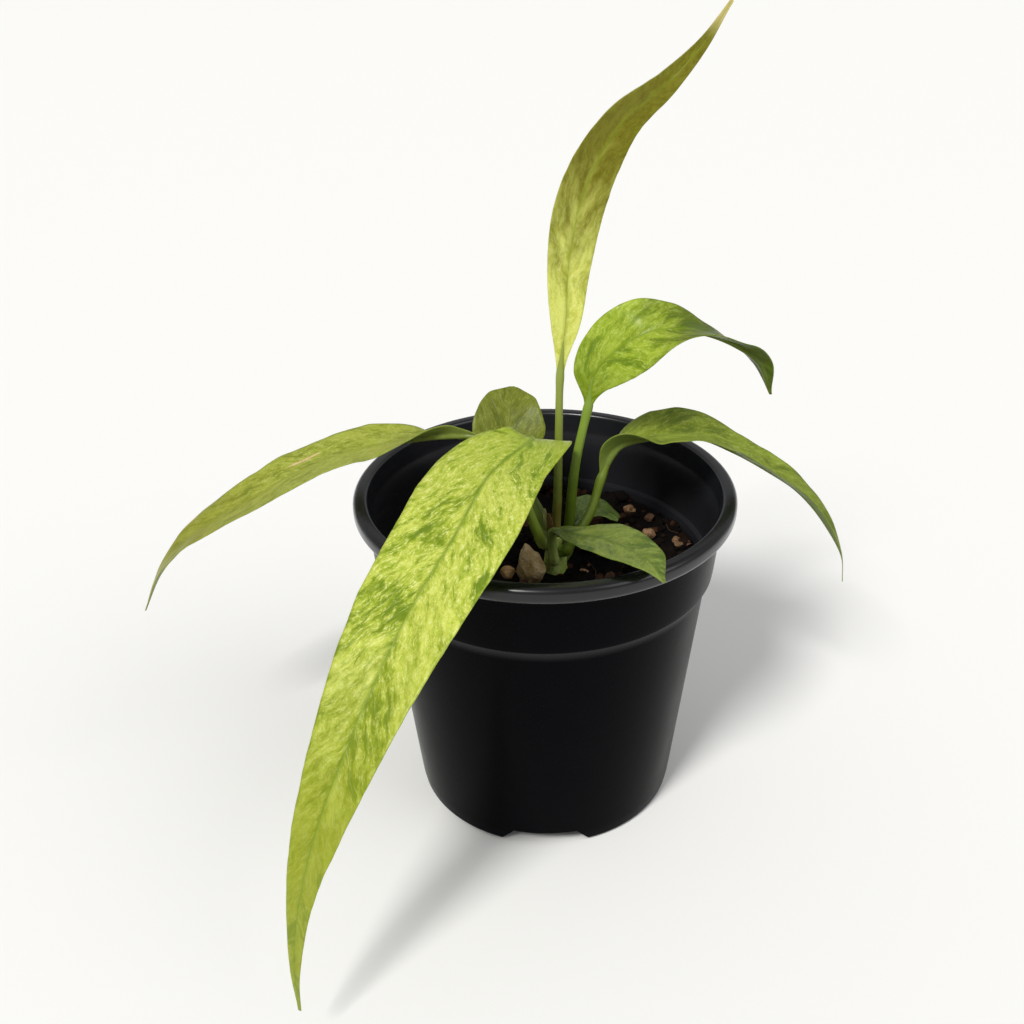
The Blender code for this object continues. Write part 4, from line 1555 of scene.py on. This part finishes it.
BLACK_PLASTIC = PotPlastic(Names.PLASTIC.value)
# The mix and its bark chips are dark in their own right, and darkened further as painted shade: the
# shade inside the pot.
SOIL = Earthy(Names.SOIL.value, dark=(0.0015, 0.001, 0.0008), light=(0.006, 0.0035, 0.0025),
              scale=320.0, grain=0.5, relief=0.0006, roughness=0.92)
BARK = Earthy(Names.BARK.value, dark=(0.002, 0.0012, 0.001), light=(0.014, 0.007, 0.004), scale=420.0,
              grain=0.5, relief=0.0004, roughness=0.85, toned=True, other=(0.045, 0.018, 0.009))
GRIT = Earthy(Names.GRIT.value, dark=(0.05, 0.025, 0.014), light=(0.20, 0.11, 0.06), scale=500.0,
              grain=0.4, relief=0.0003, roughness=0.85, toned=True, other=(0.36, 0.22, 0.12))
PUMICE = Earthy(Names.PUMICE.value, dark=(0.42, 0.28, 0.11), light=(0.88, 0.68, 0.40), scale=230.0,
                grain=0.45, relief=0.0004, roughness=0.88)
TAN_CHIP = Earthy("tan_chip", dark=(0.15, 0.075, 0.035), light=(0.40, 0.25, 0.14), scale=400.0,
                  grain=0.4, relief=0.0003, roughness=0.88)
PEBBLE = Earthy(Names.PEBBLE.value, dark=(0.50, 0.28, 0.11), light=(0.90, 0.60, 0.30), scale=330.0,
                grain=0.4, relief=0.0003, roughness=0.75)
CROWN_SKIN = Earthy(Names.CROWN.value, dark=(0.34, 0.46, 0.09), light=(0.60, 0.72, 0.26), scale=240.0,
                    grain=0.3, relief=0.0002, roughness=0.5)
ROOT_SKIN = Earthy(Names.ROOT.value, dark=(0.30, 0.22, 0.13), light=(0.60, 0.50, 0.34), scale=300.0,
                   grain=0.3, relief=0.0002, roughness=0.8)
COIR = Earthy("coir", dark=(0.05, 0.028, 0.015), light=(0.14, 0.08, 0.045), scale=500.0, grain=0.3,
              relief=0.0001, roughness=0.9)

LEAVES = (
    Leaf("tall", 90, 1.0, [(3.5, -4.5, -4), (3.9, -2, 14)],
         Blade(Sections(0, 12, [
             (4.3, 0, 34, 1.0, 0), (5.6, 1, 47.5, 4.0, 0), (6.3, 2, 61, 5.5, 0), (8.4, 3, 74.5, 6.3, 0),
             (12.7, 5, 86, 5.9, -4), (19.7, 7, 96.3, 4.6, -6), (29.2, 8, 104, 3.0, -2),
             (37.4, 9, 112.5, 1.5, 5), (43.6, 8, 122.3, 0.45, 5)]),
             # the tall leaf's dark upper end is partly painted shade, where the blade turns away from
             # the light
             LeafSkin("tall_skin", pale=(0.66, 0.69, 0.16), mid=(0.46, 0.49, 0.055),
                      deep=(0.27, 0.31, 0.018), rib=(0.24, 0.31, 0.018), tip=(0.115, 0.102, 0.002),
                      scar=(0.60, 0.50, 0.20), tip_amount=1.0, tip_from=0.12, dry_tip=0.9,
                      vein_amount=0.0, rib_amount=0.45, blotch=0.14, fleck=0.24, slant=5.0,
                      seed=3.0), seed=1.0),
         Stalk("tall_stalk_skin", base=(0.15, 0.19, 0.018), top=(0.27, 0.33, 0.05),
               foot=(0.15, 0.10, 0.02), foot_share=0.22), slim=0.84),
    Leaf("upper_right", 25, 0.95, [(8.4, -2.5, 8)],
         Blade(Sections(-90, 10, [
             (11.8, 0, 24.5, 1.2, -60), (13.3, -1, 33.5, 6.2, -62), (18.2, -2, 40.2, 8.8, -60),
             (25, -3, 45, 9.4, -50), (32.7, -3, 46.6, 8.6, -18), (40.6, -3, 45.6, 6.8, 5),
             (48.8, -3, 42.2, 5.6, 22), (55.5, -2, 36.8, 3.8, 40), (59.2, -1, 27.6, 0.45, 40)]),
             # the upper right leaf's very dark tip is partly painted shade of its end drooping away
             # from the light
             LeafSkin("upper_right_skin", pale=(0.36, 0.46, 0.045), mid=(0.20, 0.29, 0.012),
                      deep=(0.12, 0.20, 0.006), rib=(0.20, 0.29, 0.014), tip=(0.032, 0.044, 0.002),
                      tip_amount=1.0, tip_from=0.29, base_amount=0.5, blotch=0.22, fleck=0.30,
                      glint=0.25, slant=1.8, seed=17.0), seed=5.0, quilt=0.35),
         Stalk("upper_right_stalk_skin", base=(0.12, 0.19, 0.012), top=(0.22, 0.33, 0.03),
               foot=(0.22, 0.26, 0.08))),
    Leaf("lower_right", -50, 0.7, [(12.6, -4, -6)],
         Blade(Sections(-90, 20, [
             (15.8, 0, 3, 1.0, 45), (20.4, 2, 11.2, 6.5, 32), (30.7, 4, 13, 9.0, -8),
             (41.6, 5, 12.8, 8.6, -4), (51.5, 5, 8.6, 7.6, 0), (61.2, 4, 3.2, 6.4, -2),
             (70.2, 2, -2.6, 5.4, -2), (77.6, 0, -11, 3.6, -8), (83.2, -2, -21.4, 0.5, -8),
             (84.3, -2.6, -29.5, 0.16, -8)]),
             LeafSkin("lower_right_skin", pale=(0.25, 0.32, 0.035), mid=(0.16, 0.21, 0.016),
                      deep=(0.10, 0.145, 0.012), rib=(0.20, 0.27, 0.03), tip=(0.11, 0.15, 0.018),
                      scar=(0.50, 0.42, 0.24), tip_amount=0.6, tip_from=0.45, dry_tip=0.9, blotch=0.20,
                      fleck=0.30, glint=0.15, slant=3.0, seed=29.0), seed=9.0, ripple=0.25),
         Stalk("lower_right_stalk_skin", base=(0.14, 0.21, 0.014), top=(0.16, 0.23, 0.015),
               foot=(0.34, 0.42, 0.12))),
    Leaf("left", 150, 0.9, [(-7, 4.5, 1.5)],
         Blade(Sections(90, 10, [
             (-18, 4, 12.6, 1.2, -58), (-25, 5, 13.2, 4.0, -52), (-35.5, 6, 11.9, 7.2, -12),
             (-47, 7, 9, 9.2, 6), (-58.7, 7, 5.6, 9.8, 7), (-70, 6, 0.9, 9.8, 9),
             (-80.2, 4, -4.6, 9.2, 12), (-91, 2, -10, 7.7, 12), (-101, 0, -16.7, 5.6, 10),
             (-110, -2, -26.2, 2.8, 10), (-115.7, -4, -38.1, 0.45, 10)]),
             LeafSkin("left_skin", pale=(0.34, 0.38, 0.050), mid=(0.20, 0.24, 0.020),
                      deep=(0.14, 0.18, 0.012), rib=(0.25, 0.29, 0.03), tip=(0.21, 0.205, 0.014),
                      scar=(0.66, 0.47, 0.24),
                      tip_amount=0.7, tip_from=0.40, base_amount=0.3, blotch=0.18, fleck=0.26,
                      glint=0.25, scars=1.0, slant=4.0, seed=41.0), seed=13.0, ripple=0.3),
         Stalk("left_stalk_skin", base=(0.18, 0.26, 0.02), top=(0.15, 0.20, 0.015),
               foot=(0.30, 0.38, 0.09))),
    Leaf("front", 205, 0.85, [(-4.6, -6, -3), (-5.8, -2, 2)],
         Blade(Sections(150, 5, [
             (-5.8, 1.4, 7.5, 1.2, 0), (-5.2, -0.4, 13.5, 2.8, 0), (-3, -8.4, 18.3, 10.5, 0),
             (-13.6, -24, 16, 15.0, 0), (-21.4, -44, 10, 15.7, 0), (-30.8, -61, 0.6, 14.4, 0),
             (-38.2, -74, -10, 12.0, 0), (-45, -85, -23, 9.4, 0), (-50.8, -93, -36.6, 6.8, 0),
             (-55.4, -99, -52.8, 3.8, 0), (-57.8, -103, -72, 1.4, 0), (-57.8, -104, -83.6, 0.45, 0)]),
             LeafSkin("front_skin", pale=(0.56, 0.62, 0.105), mid=(0.26, 0.35, 0.018),
                      deep=(0.12, 0.20, 0.008), rib=(0.15, 0.24, 0.012), tip=(0.24, 0.27, 0.015),
                      tip_amount=0.85, tip_from=0.35,
                      base_amount=0.8, blotch=0.20, fleck=0.29, glint=0.6, seed=53.0),
             rows=220, columns=44, seed=17.0),
         Stalk("front_stalk_skin", base=(0.26, 0.36, 0.04), top=(0.22, 0.32, 0.03),
               foot=(0.42, 0.52, 0.14))),
    Leaf("back", 95, 0.6, [(-2, 5, -9)],
         Blade(Sections(8, 8, [
             (-7.5, 10, -2, 1.2, 0), (-9.5, 12, 4, 7.5, 0), (-10, 14.5, 9.5, 10.4, 0),
             (-9.6, 18, 14.2, 9.2, 0), (-9, 21.5, 17.2, 6.8, 0), (-8.6, 24.5, 19.2, 2.8, 0)]),
             LeafSkin("back_skin", pale=(0.21, 0.245, 0.028), mid=(0.135, 0.16, 0.014),
                      deep=(0.10, 0.125, 0.010), rib=(0.22, 0.25, 0.04), vein=(0.26, 0.29, 0.05),
                      vein_amount=0.18, blotch=0.16, fleck=0.30, glint=0.1, seed=61.0),
             rows=90, seed=21.0, quilt=0.12, ripple=0.0, round_from=0.86),
         Stalk("back_stalk_skin", base=(0.10, 0.14, 0.010), top=(0.15, 0.20, 0.02),
               foot=(0.16, 0.20, 0.05))),
    Leaf("low_front", -95, 0.5, [],
         Blade(Sections(-141, 8, [
             (2.2, -10.6, -8.5, 1.0, -10), (8.6, -19, -4.5, 4.0, -10), (14.8, -29, 0.2, 6.6, -10),
             (20.3, -38, 2.6, 6.2, -8), (25, -46, 3.8, 4.4, -5), (28.1, -53, 2.6, 0.45, 0)]),
             LeafSkin("low_front_skin", pale=(0.21, 0.27, 0.05), mid=(0.125, 0.175, 0.030),
                      deep=(0.06, 0.105, 0.022), rib=(0.09, 0.14, 0.02), blotch=0.18,
                      fleck=0.30, glint=0.1, seed=71.0), rows=100, seed=25.0, ripple=0.05),
         Stalk("low_front_stalk_skin", base=(0.34, 0.44, 0.10), top=(0.20, 0.28, 0.06),
               foot=(0.48, 0.58, 0.18), foot_share=0.4)),
    Leaf("low_back", 45, 0.3, [],
         Blade(Sections(-75, 4, [
             (9.2, 0, -12.5, 1.0, 0), (12.6, 4, -10.2, 7.0, 0), (17.5, 8, -12, 6.6, 0),
             (21.5, 9.6, -14.6, 2.4, 0)]),
             LeafSkin("low_back_skin", pale=(0.16, 0.24, 0.04), mid=(0.09, 0.16, 0.025),
                      deep=(0.05, 0.10, 0.015), rib=(0.16, 0.23, 0.04), vein_amount=0.3, blotch=0.2,
                      fleck=0.3, seed=83.0), rows=70, seed=29.0, round_from=0.82),
         Stalk("low_back_stalk_skin", base=(0.12, 0.18, 0.03), top=(0.10, 0.17, 0.04),
               foot=(0.25, 0.30, 0.10))),
)

SHEATHS = (
    Sheath("sheath_brown", -133, -42, -20,
           [(0.5, 1.0, 1.3, 0), (0.5, 3.5, 1.3, 0), (0.7, 6.0, 1.0, 0), (1.2, 7.8, 0.45, 0)],
           DrySheath("brown_husk", dark=(0.10, 0.055, 0.015), light=(0.26, 0.16, 0.04))),
    Sheath("sheath_pale", 156, 0, 0,
           [(0.55, 2.0, 0.6, 0), (0.85, 4.0, 0.8, 0), (1.2, 6.0, 0.6, 0), (1.45, 7.2, 0.4, 0)],
           DrySheath("pale_husk", dark=(0.28, 0.30, 0.08), light=(0.50, 0.52, 0.20))),
)

CHIPS = (
    Chip("bark_chips", 150, 1.6, 4.6, 0.45, 1.5, (0.0, 0.85), BARK, "potting_mix", inner=7.0),
    Chip("bark_crumbs", 520, 0.6, 1.7, 0.7, 1.3, (0.0, 1.0), BARK, "potting_mix", inner=5.5),
    Chip("pale_grit", 46, 0.8, 1.9, 0.8, 1.1, (0.1, 1.0), GRIT, "pumice", inner=8.0),
)

STONES = (
    Stone("pumice_large", -3.8, -11.0, (4.3, 3.6, 5.8), 0.82, PUMICE, ridge=0.35, lean=-0.22,
          broad=0.74, faces=9),
    Stone("pebble_brown", -10.2, -9.6, (2.4, 2.2, 2.2), 0.70, PEBBLE, "pebble"),
    Stone("pumice_back", -2.0, 33.5, (2.2, 2.0, 1.6), 0.70, TAN_CHIP),
    Stone("pumice_chip_1", 25.8, 27.0, (1.9, 1.6, 1.3), 0.70, TAN_CHIP),
    Stone("pumice_chip_2", 30.3, 12.0, (2.2, 1.8, 1.7), 0.70, TAN_CHIP),
    Stone("pumice_chip_3", 32.6, 1.0, (1.6, 1.4, 1.2), 0.70, TAN_CHIP),
    Stone("pumice_chip_4", 38.2, 8.5, (1.4, 1.6, 1.2), 0.70, TAN_CHIP),
    Stone("pumice_chip_5", 40.4, -1.5, (1.3, 1.5, 1.1), 0.70, TAN_CHIP),
    Stone("pumice_left", -24.0, 10.0, (2.6, 2.1, 1.8), 0.70, TAN_CHIP),
    Stone("pumice_back_left", -16.0, -24.0, (2.0, 1.7, 1.5), 0.70, TAN_CHIP),
)

LAMPS = (
    Lamp("key", (-0.50, -0.85, 1.15), 14.0, 2.35, (1.0, 0.985, 0.95)),
    Lamp("fill", (0.9, -0.4, 0.9), 40.0, 0.6),
)


def keep(node: str, finish: Finish) -> None:
    """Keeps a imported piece's shape and gives it a better finish."""
    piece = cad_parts[node]
    piece.data.materials.clear()
    piece.data.materials.append(finish.material())
    LOG.info("%s: kept", node)


def main() -> None:
    """Makes every piece, then the studio."""
    logging.basicConfig(level=logging.INFO, format="%(name)s %(message)s")
    mix = Mix(SOIL, CHIPS)
    makers = [Pot(BLACK_PLASTIC), mix, Fibres(COIR, mix), Crown(CROWN_SKIN), *STONES, *LEAVES, *SHEATHS]
    for maker in makers:
        maker.make()
    keep("roots", ROOT_SKIN)
    Studio(LAMPS).make()


if __name__ == "__main__":
    main()
